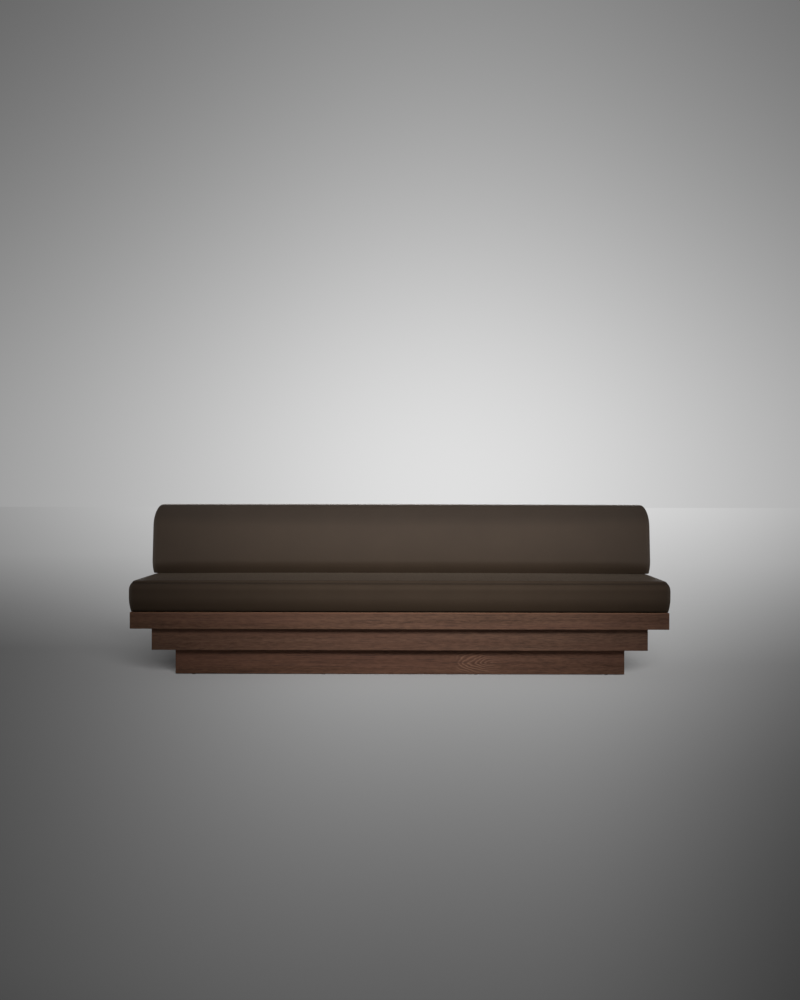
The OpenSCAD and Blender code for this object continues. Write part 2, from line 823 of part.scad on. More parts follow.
module post_washers() {
    color(zinc_colour)
        for (x = post_xs, z = bolt_zs, y = [post_y + post_t / 2, keel_y - washer_t])
            translate([x, y, z])
                rotate([-90, 0, 0])
                    difference() {
                        cylinder(h = washer_t, r = washer_r);
                        translate([0, 0, -cut]) cylinder(h = washer_t + 2 * cut, r = bolt_d / 2 + bolt_gap);
                    }
}

module post_nuts() {
    color(zinc_colour)
        for (x = post_xs, z = bolt_zs)
            translate([x, keel_y - washer_t, z])
                rotate([90, 0, 0])
                    difference() {
                        hexagon_bar(bolt_flats, nut_h);
                        translate([0, 0, -cut]) cylinder(h = nut_h + 2 * cut, r = bolt_d / 2 + glue_gap);
                    }
}

// Seat cushion layers, all slotted for the posts: two foams, a fibre wrap and the cover.
module seat_slots() {
    post_slots(deck_z - cut, seat_h + seat_crown + 2 * cut, slot_gap);
}

module foam_level(z, h) {
    translate([-half_w, front_y, z]) cube([2 * half_w, rear_y - front_y, h]);
}

module seat_firm_foam() {
    color(firm_foam_colour)
        difference() {
            intersection() {
                seat_form(foam_in, plain_mesh);
                foam_level(deck_z, firm_h);
            }
            seat_slots();
        }
}

module seat_soft_foam() {
    color(foam_colour)
        difference() {
            intersection() {
                seat_form(foam_in, plain_mesh);
                foam_level(deck_z + firm_h, seat_h + seat_crown);
            }
            seat_slots();
        }
}

module seat_fibre_wrap() {
    color(fibre_colour)
        difference() {
            seat_form(cover_t + soft_gap, plain_mesh);
            seat_form(cover_t + soft_gap + wrap_t, plain_mesh);
            seat_slots();
        }
}

module seat_cover() {
    color(fabric_colour)
        difference() {
            seat_form(0, fine_mesh);
            seat_form(cover_t, plain_mesh);
            seat_slots();
            zip_opening(rear_y, seat_zip_z);
        }
}

module seat_zip() {
    color(nylon_colour) zip_strip(rear_y, seat_zip_z);
}

module seat_zip_slider() {
    color(steel_colour) zip_slider_at(rear_y, seat_zip_z);
}

// Back frame: two rails with three kinds of upright between them and a panel on each face.
module frame_bar(x, w, z, h) {
    translate([x - w / 2, frame_y, z]) cube([w, frame_d, h]);
}

// The bottom rail is slotted for the sockets and drilled for their flanges' screws.
module back_bottom_rail() {
    color(ply_colour)
        difference() {
            frame_bar(0, frame_w, frame_z, bottom_rail_h);
            for (x = post_xs)
                translate([x - socket_w / 2 - glue_gap, post_y - socket_d / 2 - glue_gap, frame_z - cut])
                    cube([socket_w + 2 * glue_gap, socket_d + 2 * glue_gap, bottom_rail_h + 2 * cut]);
            socket_screw_set(screw_gap);
        }
}

module back_top_rail() {
    color(ply_colour) frame_bar(0, frame_w, frame_top_z - top_rail_h, top_rail_h);
}

module back_left_stile() {
    color(ply_colour) frame_bar(-(frame_w - stile_w) / 2, stile_w, stile_z, stile_h);
}

module back_right_stile() {
    color(ply_colour) frame_bar((frame_w - stile_w) / 2, stile_w, stile_z, stile_h);
}

module back_inner_stiles() {
    color(ply_colour)
        for (side = [-1, 1]) frame_bar(side * inner_stile_x, stile_w, stile_z, stile_h);
}

module back_front_panel() {
    color(ply_colour)
        translate([-frame_w / 2, frame_y - front_panel_t, frame_z])
            cube([frame_w, front_panel_t, frame_top_z - frame_z]);
}

module back_rear_panel() {
    color(ply_colour)
        translate([-frame_w / 2, frame_y + frame_d, frame_z])
            cube([frame_w, rear_panel_t, frame_top_z - frame_z]);
}

// Rectangular steel sleeves with a flange under the bottom rail.
module post_sockets() {
    color(steel_colour)
        difference() {
            for (x = post_xs) {
                translate([x - socket_w / 2, post_y - socket_d / 2, frame_z - flange_t])
                    cube([socket_w, socket_d, socket_top_z - frame_z + flange_t]);
                translate([x - flange_w / 2, frame_y, frame_z - flange_t])
                    cube([flange_w, frame_d, flange_t]);
            }
            post_slots(frame_z - flange_t - cut, socket_top_z - frame_z + flange_t + 2 * cut, socket_gap);
            socket_screw_set(screw_gap);
        }
}

// Screws up through the flanges, heads flush underneath.
module socket_screw_set(gap) {
    for (x = post_xs, side = [-1, 1])
        translate([x + side * flange_screw_x, post_y, frame_z - flange_t])
            mirror([0, 0, 1]) wood_screw(flange_screw_l, gap);
}

module socket_screws() {
    color(zinc_colour) socket_screw_set(0);
}

// Back cushion layers: foam moulded round the frame, a fibre wrap and the cover.
module back_slots() {
    post_slots(back_z - cut, frame_z - back_z + cut, slot_gap);
}

module frame_pocket() {
    translate([-frame_w / 2 - soft_gap, frame_y - front_panel_t - soft_gap, frame_z - flange_t - soft_gap])
        cube([
            frame_w + 2 * soft_gap, frame_d + front_panel_t + rear_panel_t + 2 * soft_gap,
            frame_top_z - frame_z + flange_t + 2 * soft_gap
        ]);
}

module back_foam() {
    color(foam_colour)
        difference() {
            back_form(foam_in, plain_mesh);
            frame_pocket();
            back_slots();
        }
}

module back_fibre_wrap() {
    color(fibre_colour)
        difference() {
            back_form(cover_t + soft_gap, plain_mesh);
            back_form(cover_t + soft_gap + wrap_t, plain_mesh);
            back_slots();
        }
}

module back_cover() {
    color(fabric_colour)
        difference() {
            back_form(0, fine_mesh);
            back_form(cover_t, plain_mesh);
            back_slots();
            zip_opening(back_rear_y, back_zip_z);
        }
}

module back_zip() {
    color(nylon_colour) zip_strip(back_rear_y, back_zip_z);
}

module back_zip_slider() {
    color(steel_colour) zip_slider_at(back_rear_y, back_zip_z);
}

lower_front_board();
lower_rear_board();
lower_left_board();
lower_right_board();
middle_front_board();
middle_rear_board();
middle_left_board();
middle_right_board();
top_front_board();
top_rear_board();
top_left_board();
top_right_board();
mitre_splines();
lower_corner_blocks();
middle_corner_blocks();
top_corner_blocks();
lower_ribs();
middle_ribs();
top_ribs();
keel_rail();
middle_soffit();
top_soffit();
seat_deck();
middle_tier_screws();
top_tier_screws();
deck_screws();
floor_glides();
back_posts();
post_bolts();
post_washers();
post_nuts();
seat_firm_foam();
seat_soft_foam();
seat_fibre_wrap();
seat_cover();
seat_zip();
seat_zip_slider();
back_bottom_rail();
back_top_rail();
back_left_stile();
back_right_stile();
back_inner_stiles();
back_front_panel();
back_rear_panel();
post_sockets();
socket_screws();
back_foam();
back_fibre_wrap();
back_cover();
back_zip();
back_zip_slider();
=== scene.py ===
# A long sofa on a stepped oak plinth: the upholstery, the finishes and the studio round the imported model.
# Metres. +Z is up, the front faces -Y, and the origin is on the floor under the middle of the sofa.
import json
import math

import bpy
import numpy as np
from bpy.props import FloatProperty, FloatVectorProperty, IntProperty, PointerProperty
from mathutils import Euler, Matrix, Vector
from mathutils.kdtree import KDTree


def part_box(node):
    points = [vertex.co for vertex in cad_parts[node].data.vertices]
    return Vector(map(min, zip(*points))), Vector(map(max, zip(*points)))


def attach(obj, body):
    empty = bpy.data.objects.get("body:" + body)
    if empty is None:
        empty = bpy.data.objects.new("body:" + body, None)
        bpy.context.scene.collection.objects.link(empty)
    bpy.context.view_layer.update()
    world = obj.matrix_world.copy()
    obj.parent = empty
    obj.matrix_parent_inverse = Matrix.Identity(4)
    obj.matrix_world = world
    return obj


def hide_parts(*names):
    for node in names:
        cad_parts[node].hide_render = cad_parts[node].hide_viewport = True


bl_info = {
    "name": "Plinth Sofa",
    "version": (1, 0, 0),
    "blender": (4, 5, 0),
    "location": "3D View > Sidebar > Sofa",
    "description": "Upholstery, finishes and a studio for a long sofa on a stepped oak plinth",
    "category": "Add Mesh",
}

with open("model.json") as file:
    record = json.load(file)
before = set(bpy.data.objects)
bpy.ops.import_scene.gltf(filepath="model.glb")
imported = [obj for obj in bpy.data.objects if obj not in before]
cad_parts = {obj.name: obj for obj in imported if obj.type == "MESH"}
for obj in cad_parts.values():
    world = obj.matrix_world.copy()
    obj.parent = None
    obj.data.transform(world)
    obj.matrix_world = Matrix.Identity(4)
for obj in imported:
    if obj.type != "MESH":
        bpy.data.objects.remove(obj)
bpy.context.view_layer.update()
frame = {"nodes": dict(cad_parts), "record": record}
SEAT_LOW, SEAT_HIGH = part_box("seat_cover")
BACK_LOW, BACK_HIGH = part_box("back_cover")
POSTS_LOW, POSTS_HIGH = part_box("back_posts")
ZIP_GAP = 0.0003


def spans(node, axis, gap):
    """The stretches that a node's solids cover along an axis, told apart by gaps wider than gap."""
    places = sorted({round(v.co[axis], 5) for v in frame["nodes"][node].data.vertices})
    found = [[places[0], places[0]]]
    for place in places[1:]:
        if place - found[-1][1] > gap:
            found.append([place, place])
        found[-1][1] = place
    return found


POST_SPANS = spans("back_posts", axis=0, gap=0.2)


# Settings


def length(name, description, default):
    """A size in metres."""
    return FloatProperty(name=name, description=description, default=default, unit="LENGTH")


def number(name, description, default, unit="NONE"):
    """A share, an angle or a strength, in that unit if it has one."""
    return FloatProperty(name=name, description=description, default=default, unit=unit)


def triple(name, description, default, subtype="COLOR"):
    """A colour, or a place in metres where the subtype says so."""
    return FloatVectorProperty(name=name, description=description, default=default, subtype=subtype)


class SofaSeatSettings(bpy.types.PropertyGroup):
    """Sizes of the seat cushion's cover."""

    height: length("Height", "Height at the edge", 0.140)
    crown: length("Crown", "Rise of the middle", 0.010)
    roll_across: length("Roll across", "Width of the top edge's rounding", 0.031)
    roll_down: length("Roll down", "Height of the top edge's rounding", 0.051)
    corner: length("Corner", "Rounding seen from above", 0.034)
    tuck: length("Tuck", "How far the base of the ends and rear draws in", 0.0086)
    front_tuck: length("Front tuck", "How far the base of the front draws in", 0.0176)
    tuck_height: length("Tuck height", "Height over which the base draws in", 0.064)
    seam_angle: number("Seam angle", "Where the seam lies on the roll, in degrees", 53)
    puff: length("Puff", "Swell of the cloth on both sides of the seam", 0.0024)
    base_roll: length("Base roll", "Rounding of the lower edge", 0.007)
    settled: length("Settled", "How far the top sinks under the back", 0.0004)


class SofaBackSettings(bpy.types.PropertyGroup):
    """Sizes of the back cushion's cover."""

    depth: length("Depth", "Depth at the base", 0.2755)
    height: length("Height", "Height at the ends", 0.333)
    crown: length("Crown", "Rise of the top's middle", 0.002)
    lean: length("Lean", "How far the front leans back", 0.028)
    taper: length("Taper", "How far each end narrows", 0.0035)
    corner_across: length("Corner across", "Width of the upper corners' rounding", 0.039)
    corner_down: length("Corner down", "Height of the upper corners' rounding", 0.102)
    front_roll: length("Front roll", "Rounding of the top to the front", 0.072)
    rear_roll: length("Rear roll", "Rounding of the top to the rear", 0.058)
    front_tuck: length("Front tuck", "Draw-in of the front's base", 0.022)
    end_tuck: length("End tuck", "Draw-in of the ends' base", 0.005)
    tuck_height: length("Tuck height", "Height over which the base draws in", 0.062)
    swell: length("Swell", "Swell of the front face", 0.008)
    corner: length("Corner", "Rounding seen from above", 0.036)
    base_roll: length("Base roll", "Rounding of the lower edge", 0.004)


class SofaCoverSettings(bpy.types.PropertyGroup):
    """What both covers share."""

    cloth: length("Cloth", "Thickness of the fabric", 0.0025)
    spacing: length("Spacing", "Widest step of the mesh", 0.013)
    corner_steps: IntProperty(name="Corner steps", description="Steps round half a corner", default=5)
    slot_gap: length("Slot gap", "Room round a post in its slot", 0.0015)
    voxel: length("Cloth step", "Step of the simulated cloth", 0.019)
    pressure: number("Pressure", "Pressure of the filling", 4.0)
    swell: length("Swell", "Furthest that the cloth may swell", 0.004)
    valley_depth: length("Valley depth", "Depth of the soft valley at a seam", 0.0024)
    valley_spread: number("Valley spread", "Half width of the valley, in degrees", 10.5)
    groove_depth: length("Groove depth", "Depth of a seam's groove", 0.0014)
    groove_width: length("Groove width", "Width of a seam's groove", 0.008)
    corner_seam: length("Corner seam", "Depth of the rear corners' seams", 0.0012)


class SofaSewingSettings(bpy.types.PropertyGroup):
    """Sizes of the zips' teeth and of the stitches."""

    tooth_radius: length("Tooth radius", "Radius of a zip's tooth", 0.0007)
    tooth_length: length("Tooth length", "Length of a tooth", 0.0036)
    tooth_pitch: length("Tooth pitch", "From a tooth to the next", 0.0024)
    row_shift: length("Row shift", "From the zip's middle to each row of teeth", 0.0012)
    end_room: length("End room", "Tape left bare at each end", 0.004)
    tape_inset: length("Tape inset", "How far the tape lies under the zip's face", 0.0009)
    hem: length("Hem", "From a zip to the stitches round it", 0.0038)
    slot_ring: length("Slot ring", "From a post slot to the stitches round it", 0.003)
    thread_radius: length("Thread radius", "Radius of a stitch", 0.00045)
    stitch: length("Stitch", "Length of a stitch", 0.0029)
    stitch_pitch: length("Stitch pitch", "From a stitch to the next", 0.0037)


class SofaFinishSettings(bpy.types.PropertyGroup):
    """Colours of the finishes, and the place of the oak's flame figure."""

    fabric: triple("Fabric", "Cover fabric", (0.0605, 0.0403, 0.0263))
    oak_light: triple("Oak light", "Early wood", (0.122, 0.0580, 0.0335))
    oak_dark: triple("Oak dark", "Late wood", (0.045, 0.0203, 0.0110))
    birch: triple("Birch", "Ply and rails", (0.62, 0.45, 0.28))
    steel: triple("Steel", "Posts and sockets", (0.16, 0.16, 0.165))
    zinc: triple("Zinc", "Screws and bolts", (0.62, 0.62, 0.60))
    thread: triple("Thread", "Sewing thread", (0.080, 0.060, 0.044))
    nylon: triple("Nylon", "Glides and zips", (0.030, 0.028, 0.026))
    foam: triple("Foam", "Both foams", (0.78, 0.72, 0.48))
    fibre: triple("Fibre", "Fibre wraps", (0.84, 0.84, 0.81))
    figure_start: length("Figure start", "Where the figure begins", 0.262)
    figure_height: length("Figure height", "Height of the figure's middle", 0.058)
    figure_pitch: length("Figure pitch", "Distance between its rings", 0.0095)


class SofaStageSettings(bpy.types.PropertyGroup):
    """The camera, lamps and floor."""

    camera_place: triple("Camera", "Where the camera stands", (0.092, -6.885, 0.848), "TRANSLATION")
    pitch: number("Pitch", "How far it looks down, in degrees", 0.433)
    yaw: number("Yaw", "How far it looks left, in degrees", 0.25)
    roll: number("Roll", "How far it leans, in degrees", -0.0975)
    lens: number("Lens", "Focal length in millimetres", 52.416)
    shift: number("Shift", "Shift of the image, as a share of its long side", -0.0139)
    key_place: triple("Key place", "Where the key lamp stands", (0.80, -5.6, 1.92), "TRANSLATION")
    key_target: triple("Key target", "Where the key lamp points", (0.10, 0.0, 0.76), "TRANSLATION")
    key_power: number("Key", "Power of the key lamp", 1330, "POWER")
    key_cone: number("Key cone", "Width of the key lamp's cone, in degrees", 31)
    key_size: length("Key size", "Radius of the key lamp", 0.55)
    fill_power: number("Fill", "Power of each rear lamp", 150, "POWER")
    end_power: number("End power", "Power of the lamp at each end", 36, "POWER")
    top_power: number("Top power", "Power of the lamp above", 19, "POWER")
    floor_power: number("Floor lamp", "Strength of the floor's own lamp", 10.6)
    floor_angle: number("Floor lamp's width", "Width of that lamp in the sky, in degrees", 35)
    world_level: number("World", "Strength of the light all round", 0.12)
    floor: triple("Floor", "What the floor throws back", (0.27, 0.27, 0.27))
    floor_gain: number("Floor gain", "Colour of the lit floor to that of the far floor", 1.1)
    floor_fade: number("Floor fade", "How soon the floor darkens", 0.119)
    floor_behind: number("Floor behind", "Brightness of the floor behind the camera", 0.3)
    reach: length("Reach", "Half the floor's width", 60.0)
    glow_level: number("Glow", "Brightness of the backdrop's middle", 0.738)
    glow_width: number("Glow width", "Spread of the glow to the sides", 0.288)
    glow_height: number("Glow height", "Spread of the glow upwards", 0.242)
    glow_edge: number("Glow edge", "Where the backdrop stops darkening", 0.34)
    glow_centre: number("Glow centre", "Where the backdrop is brightest", 0.022)


SETTINGS = {
    "sofa_seat": SofaSeatSettings,
    "sofa_back": SofaBackSettings,
    "sofa_cover": SofaCoverSettings,
    "sofa_sewing": SofaSewingSettings,
    "sofa_finish": SofaFinishSettings,
    "sofa_stage": SofaStageSettings,
}


# Objects


def linked_object(name, data):
    """An object with that mesh, lamp or camera, in the scene."""
    made = bpy.data.objects.new(name, data)
    bpy.context.scene.collection.objects.link(made)
    return made


def new_piece(name, points, edges=(), faces=()):
    """A piece with a mesh of those points, edges and faces."""
    mesh = bpy.data.meshes.new(name)
    mesh.from_pydata(points, edges, faces)
    return linked_object(name, mesh)


def make_plain(piece):
    """Turns a piece with its modifiers into a plain mesh."""
    graph = bpy.context.evaluated_depsgraph_get()
    shown = piece.evaluated_get(graph)
    mesh = bpy.data.meshes.new_from_object(shown, preserve_all_data_layers=True, depsgraph=graph)
    piece.modifiers.clear()
    piece.data = mesh


# Materials


def tinted(colour, tint):
    """The colour times one share, or times a share for each of its three numbers."""
    shares = tint if isinstance(tint, tuple) else (tint,) * 3
    return [share * c for share, c in zip(shares, colour)]


class Nodes:
    """Adds nodes to a tree. Each socket is given a value or joined to another node's output."""

    def __init__(self, tree, prefix="ShaderNode"):
        self.tree, self.prefix = tree, prefix

    def feed(self, node, name, value):
        """Gives a socket its value, or joins it to that output."""
        if isinstance(value, bpy.types.NodeSocket):
            self.tree.links.new(value, node.inputs[name])
        else:
            node.inputs[name].default_value = value

    def add(self, kind, sockets=(), **settings):
        made = self.tree.nodes.new(self.prefix + kind)
        for name, value in settings.items():
            setattr(made, name, value)
        for name, value in dict(sockets).items():
            self.feed(made, name, value)
        return made

    def math(self, operation, *values, clamp=False):
        return self.add("Math", dict(enumerate(values)), operation=operation, use_clamp=clamp).outputs[0]

    def times(self, *values):
        return self.math("MULTIPLY", *values)

    def plus(self, *values):
        return self.math("ADD", *values)

    def scaled(self, value, share, more):
        """Value times share, and more."""
        return self.math("MULTIPLY_ADD", value, share, more)

    def ranged(self, value, low, high, to_low=0.0, to_high=1.0, smooth=False):
        """Value from low to high brought to the other range."""
        sockets = {"Value": value, "From Min": low, "From Max": high, "To Min": to_low, "To Max": to_high}
        kind = "SMOOTHSTEP" if smooth else "LINEAR"
        return self.add("MapRange", sockets, interpolation_type=kind).outputs["Result"]

    def blend(self, share, low, high):
        """From the colour low to the colour high, each three numbers or another node's output."""
        mix = self.add("Mix", {0: share}, data_type="RGBA", clamp_factor=True)
        for name, colour in ((6, low), (7, high)):
            self.feed(mix, name, colour if isinstance(colour, bpy.types.NodeSocket) else (*colour, 1))
        return mix.outputs[2]

    def place(self, scale=(1, 1, 1), turn=(0, 0, 0)):
        """Object coordinates, stretched and turned."""
        place = self.add("TexCoord").outputs["Object"]
        return self.add("Mapping", {"Vector": place, "Scale": scale, "Rotation": turn}).outputs[0]

    def axes(self, place):
        return self.add("SeparateXYZ", {0: place}).outputs

    def stretched(self, place, scale):
        return self.add("VectorMath", {0: place, 1: scale}, operation="MULTIPLY").outputs[0]

    def noise(self, place, scale, detail=3.0, roughness=0.5, distortion=0.0):
        sockets = {"Vector": place, "Scale": scale, "Detail": detail, "Roughness": roughness}
        return self.add("TexNoise", {**sockets, "Distortion": distortion}).outputs["Fac"]

    def bump(self, height, distance, strength=1.0, below=None):
        sockets = {"Height": height, "Distance": distance, "Strength": strength}
        if below is not None:
            sockets["Normal"] = below
        return self.add("Bump", sockets).outputs["Normal"]

    def dress(self, **sources):
        """Feeds the Principled shader's sockets, which are named as keywords."""
        for name, source in sources.items():
            self.feed(self.shader, name.replace("_", " ").title(), source)


def new_material(name, specular=None, **sockets):
    """A material, and its nodes with their Principled shader."""
    material = bpy.data.materials.new(name)
    material.use_nodes = True
    nodes = Nodes(material.node_tree)
    nodes.tree.nodes.clear()
    nodes.shader = nodes.add("BsdfPrincipled", {k.replace("_", " ").title(): v for k, v in sockets.items()})
    if specular is not None:
        nodes.shader.inputs["Specular IOR Level"].default_value = specular
    nodes.output = nodes.add("OutputMaterial", {"Surface": nodes.shader.outputs[0]})
    nodes.output.is_active_output = True
    return material, nodes


def fabric_material(name, colour, shine, sheen, upright, top, shade_below, foot):
    """Felted upholstery wool: a fine plain weave under a soft nap, with a little lint. The colour has
    painted shade by facing: darker where faces look down, near black as painted contact shadow at
    the feet, and darker where faces look up."""
    material, nodes = new_material(
        name, roughness=0.74, sheen_weight=sheen, sheen_roughness=0.40, sheen_tint=(1.0, 0.80, 0.62, 1)
    )
    cloth = nodes.add("UVMap", uv_map="Cloth").outputs[0]
    threads = {"Vector": cloth, "Scale": 320.0, "Distortion": 0.6}
    weave = nodes.times(*(nodes.add("TexWave", threads, bands_direction=way).outputs["Fac"] for way in "XY"))
    place = nodes.place()
    nap = nodes.noise(place, 900.0, 4.0, 0.7)
    cloud = nodes.noise(place, 7.0, 3.0, 0.55)
    tone = nodes.scaled(weave, 0.22, nodes.ranged(nap, 0.3, 0.7, 0.0, 0.5))
    woven = nodes.blend(tone, tinted(colour, 0.80), tinted(colour, 1.16))
    clouded = nodes.blend(nodes.ranged(cloud, 0.3, 0.7, 0.0, 0.5), woven, tinted(colour, 1.06))
    facing = nodes.axes(nodes.add("NewGeometry").outputs["Normal"])["Z"]
    # Painted shade: the colour darkens on faces that look down, and on faces that look up
    facing_shade = nodes.ranged(facing, -0.45, upright, shade_below, 1.0, smooth=True)
    facing_shade = nodes.times(facing_shade, nodes.ranged(facing, 0.04, 0.52, 1.0, top, smooth=True))
    # Painted contact shadow: near black where faces look steeply down at the cushions' feet
    facing_shade = nodes.times(facing_shade, nodes.ranged(facing, foot - 0.26, foot, 0.05, 1.0))
    # Painted shade in the seat's seam valley, read from the point attribute set on the seat cover
    seam_shade = nodes.add("Attribute", attribute_name="seam_shade").outputs["Fac"]
    facing_shade = nodes.times(facing_shade, nodes.ranged(seam_shade, 0.0, 1.0, 1.0, 0.60))
    clouded = nodes.blend(facing_shade, (0, 0, 0), clouded)
    gloss = nodes.ranged(facing, -0.35, 0.10, 0.3 * shine, shine, smooth=True)
    nodes.feed(nodes.shader, "Specular IOR Level", gloss)
    specks = nodes.add("TexVoronoi", {"Vector": place, "Scale": 26.0}, feature="F1").outputs["Distance"]
    lint = nodes.math("LESS_THAN", specks, 0.022)
    relief = nodes.bump(weave, 0.0003, 0.6, nodes.bump(nap, 0.0004, 0.5))
    nodes.dress(base_color=nodes.blend(lint, clouded, tinted(colour, 2.2)), normal=relief)
    return material


def flame_figure(nodes, wood, axes, wander, settings):
    """Nested arches of growth rings, where a board is cut across the rings of a thinning trunk."""
    edge, core = 0.058, 0.035
    past = nodes.math("SUBTRACT", axes["X"], settings.figure_start)
    high = nodes.math("SUBTRACT", axes["Z"], settings.figure_height)
    high = nodes.plus(high, nodes.scaled(wander, 0.09, -0.045))
    from_eye = nodes.scaled(past, 0.37, -0.063)
    squares = nodes.scaled(high, high, nodes.times(from_eye, from_eye))
    uneven = nodes.noise(nodes.place(scale=(8, 25, 25)), 1.0, 2.0, 0.5)
    rings = nodes.scaled(uneven, 0.030, nodes.math("SQRT", squares))
    phase = nodes.math("FRACT", nodes.math("DIVIDE", rings, settings.figure_pitch))
    line = nodes.times(nodes.ranged(phase, 0.35, 0.75, smooth=True), nodes.ranged(phase, 1.0, 0.85))
    there = nodes.times(nodes.ranged(past, -0.01, 0.02), nodes.ranged(past, 0.21, 0.11))
    there = nodes.times(there, nodes.ranged(nodes.math("ABSOLUTE", high), edge, core))
    deeper = nodes.blend(nodes.times(there, 0.30), wood, settings.oak_dark)
    paler = tinted(settings.oak_light, (1.45, 1.55, 1.65))
    return nodes.blend(nodes.times(nodes.times(there, line), 0.9), deeper, paler)


def oak_material(name, settings, along, shift, top, tint, figured):
    """Stained open-grained oak. Growth rings round a far pith run along the board, slightly bowed,
    with dark pores and silky streaks along the grain."""
    red_stain, pore_stain = (0.110, 0.048, 0.030), (0.022, 0.012, 0.009)
    # Where the painted highlight along the board's top edge starts and ends
    highlight_low, highlight_high = top - 0.0050, top - 0.0025
    material, nodes = new_material(name, specular=0.14, roughness=0.56)
    place = nodes.place(turn=(0, 0, 0) if along == "x" else (0, 0, math.radians(-90)))
    moved = nodes.add("VectorMath", {0: place, 1: shift}, operation="ADD").outputs[0]
    wander = nodes.noise(nodes.stretched(moved, (0.6, 9.0, 9.0)), 1.6, 3.0, 0.5)
    axes = nodes.axes(place)
    bow = nodes.times(nodes.times(axes["X"], axes["X"]), 0.04)
    across = nodes.plus(nodes.math("ABSOLUTE", axes["Y"]), bow)
    height = nodes.plus(axes["Z"], shift[2])
    far = nodes.scaled(wander, 0.030, nodes.scaled(height, 1.0, bow))
    rings = nodes.scaled(across, 0.35, far)
    phase = nodes.math("FRACT", nodes.times(rings, 210.0))
    late = nodes.ranged(phase, 0.25, 0.95, smooth=True)
    pores = nodes.ranged(nodes.noise(nodes.stretched(moved, (7.0, 420.0, 420.0)), 1.0, 2.0, 0.6), 0.56, 0.66)
    pores = nodes.times(pores, nodes.ranged(late, 0.0, 0.6, 1.0, 0.35))
    streaks = nodes.noise(nodes.stretched(moved, (1.3, 60.0, 60.0)), 1.0, 4.0, 0.6)
    flecks = nodes.noise(nodes.stretched(moved, (34.0, 190.0, 190.0)), 1.0, 2.0, 0.6)
    tone = nodes.scaled(late, 0.22, nodes.ranged(streaks, 0.28, 0.72, 0.0, 0.42))
    tone = nodes.math("ADD", tone, nodes.ranged(flecks, 0.30, 0.70, 0.0, 0.55), clamp=True)
    wood = nodes.blend(tone, tinted(settings.oak_light, tint), tinted(settings.oak_dark, tint))
    if figured:
        wood = flame_figure(nodes, wood, axes, wander, settings)
    red = nodes.blend(nodes.ranged(wander, 0.4, 0.65, 0.0, 0.4), wood, red_stain)
    stained = nodes.blend(nodes.times(pores, 0.7), red, pore_stain)
    # Painted highlight: a paler band along the top 5 mm of each board, where light catches the arris
    arris_highlight = nodes.ranged(axes["Z"], highlight_low, highlight_high, 0.0, 0.75)
    stained = nodes.blend(arris_highlight, stained, tinted(settings.oak_light, 1.5))
    relief = nodes.scaled(late, 0.3, nodes.math("SUBTRACT", 1.0, pores))
    shine = nodes.ranged(streaks, 0.3, 0.7, 0.52, 0.64)
    nodes.dress(base_color=stained, roughness=shine, normal=nodes.bump(relief, 0.00025, 0.6))
    return material


def ply_material(name, colour, thickness):
    """Birch ply: veneers stacked along the thickness, with a faint grain on the faces."""
    veneer = 0.0028
    material, nodes = new_material(name, roughness=0.62)
    layer = nodes.math("FRACT", nodes.times(nodes.axes(nodes.place())[thickness.upper()], 1 / veneer))
    stripe = nodes.ranged(nodes.math("ABSOLUTE", nodes.math("SUBTRACT", layer, 0.5)), 0.2, 0.3)
    grain_place = nodes.place(scale=(3.0, 60.0, 60.0) if thickness != "x" else (60.0, 3.0, 60.0))
    grain = nodes.noise(grain_place, 1.0, 4.0, 0.6)
    tone = nodes.scaled(stripe, 0.45, nodes.ranged(grain, 0.35, 0.7, 0.0, 0.55))
    colours = nodes.blend(tone, colour, tinted(colour, 0.62))
    nodes.dress(base_color=colours, normal=nodes.bump(grain, 0.0002, 0.3))
    return material


def metal_material(name, colour, roughness):
    """Metal with a drawn or plated surface, a little uneven in its shine."""
    material, nodes = new_material(name, metallic=1.0)
    drawn = nodes.noise(nodes.place(scale=(300.0, 300.0, 8.0)), 1.0, 3.0, 0.6)
    blotch = nodes.noise(nodes.place(), 55.0, 3.0, 0.6)
    shine = nodes.ranged(drawn, 0.3, 0.7, roughness - 0.08, roughness + 0.10)
    colours = nodes.blend(blotch, tinted(colour, 0.82), colour)
    nodes.dress(base_color=colours, roughness=shine, normal=nodes.bump(drawn, 0.00005, 0.4))
    return material


def patterned_material(name, colour, pattern, low, high, relief=None, **sockets):
    """A pattern that blends two tones of the colour, and raises the surface by relief."""
    material, nodes = new_material(name, **sockets)
    share = pattern(nodes)
    nodes.dress(base_color=nodes.blend(share, tinted(colour, low), tinted(colour, high)))
    if relief is not None:
        nodes.dress(normal=nodes.bump(share, *relief))
    return material


def moulded(nodes):
    """The skin of moulded nylon from a spark-eroded tool."""
    return nodes.noise(nodes.place(), 1400.0, 2.0, 0.6)


def herringbone(nodes):
    place = nodes.place(turn=(0, math.radians(45), 0))
    return nodes.add("TexWave", {"Vector": place, "Scale": 500.0}, bands_direction="X").outputs["Fac"]


def twisted(nodes):
    return nodes.noise(nodes.place(), 2500.0, 2.0, 0.6)


def open_cells(nodes):
    return nodes.add("TexVoronoi", {"Vector": nodes.place(), "Scale": 650.0}).outputs["Distance"]


def carded_tufts(nodes):
    return nodes.noise(nodes.place(scale=(1.0, 3.0, 3.0)), 90.0, 5.0, 0.7, 1.2)


# Covers


def steps(keys, spacing):
    """Every key place, with even steps between them that are no wider than spacing."""
    places = [keys[0]]
    for start, end in zip(keys, keys[1:]):
        count = max(1, math.ceil((end - start) / spacing - 1e-6))
        places += [start + (end - start) * i / count for i in range(1, count + 1)]
    return places


def tucked(up, height, tuck):
    """How far the cover is drawn in, up from its base."""
    return tuck * (1 - up / height) ** 2 if up < height else 0.0


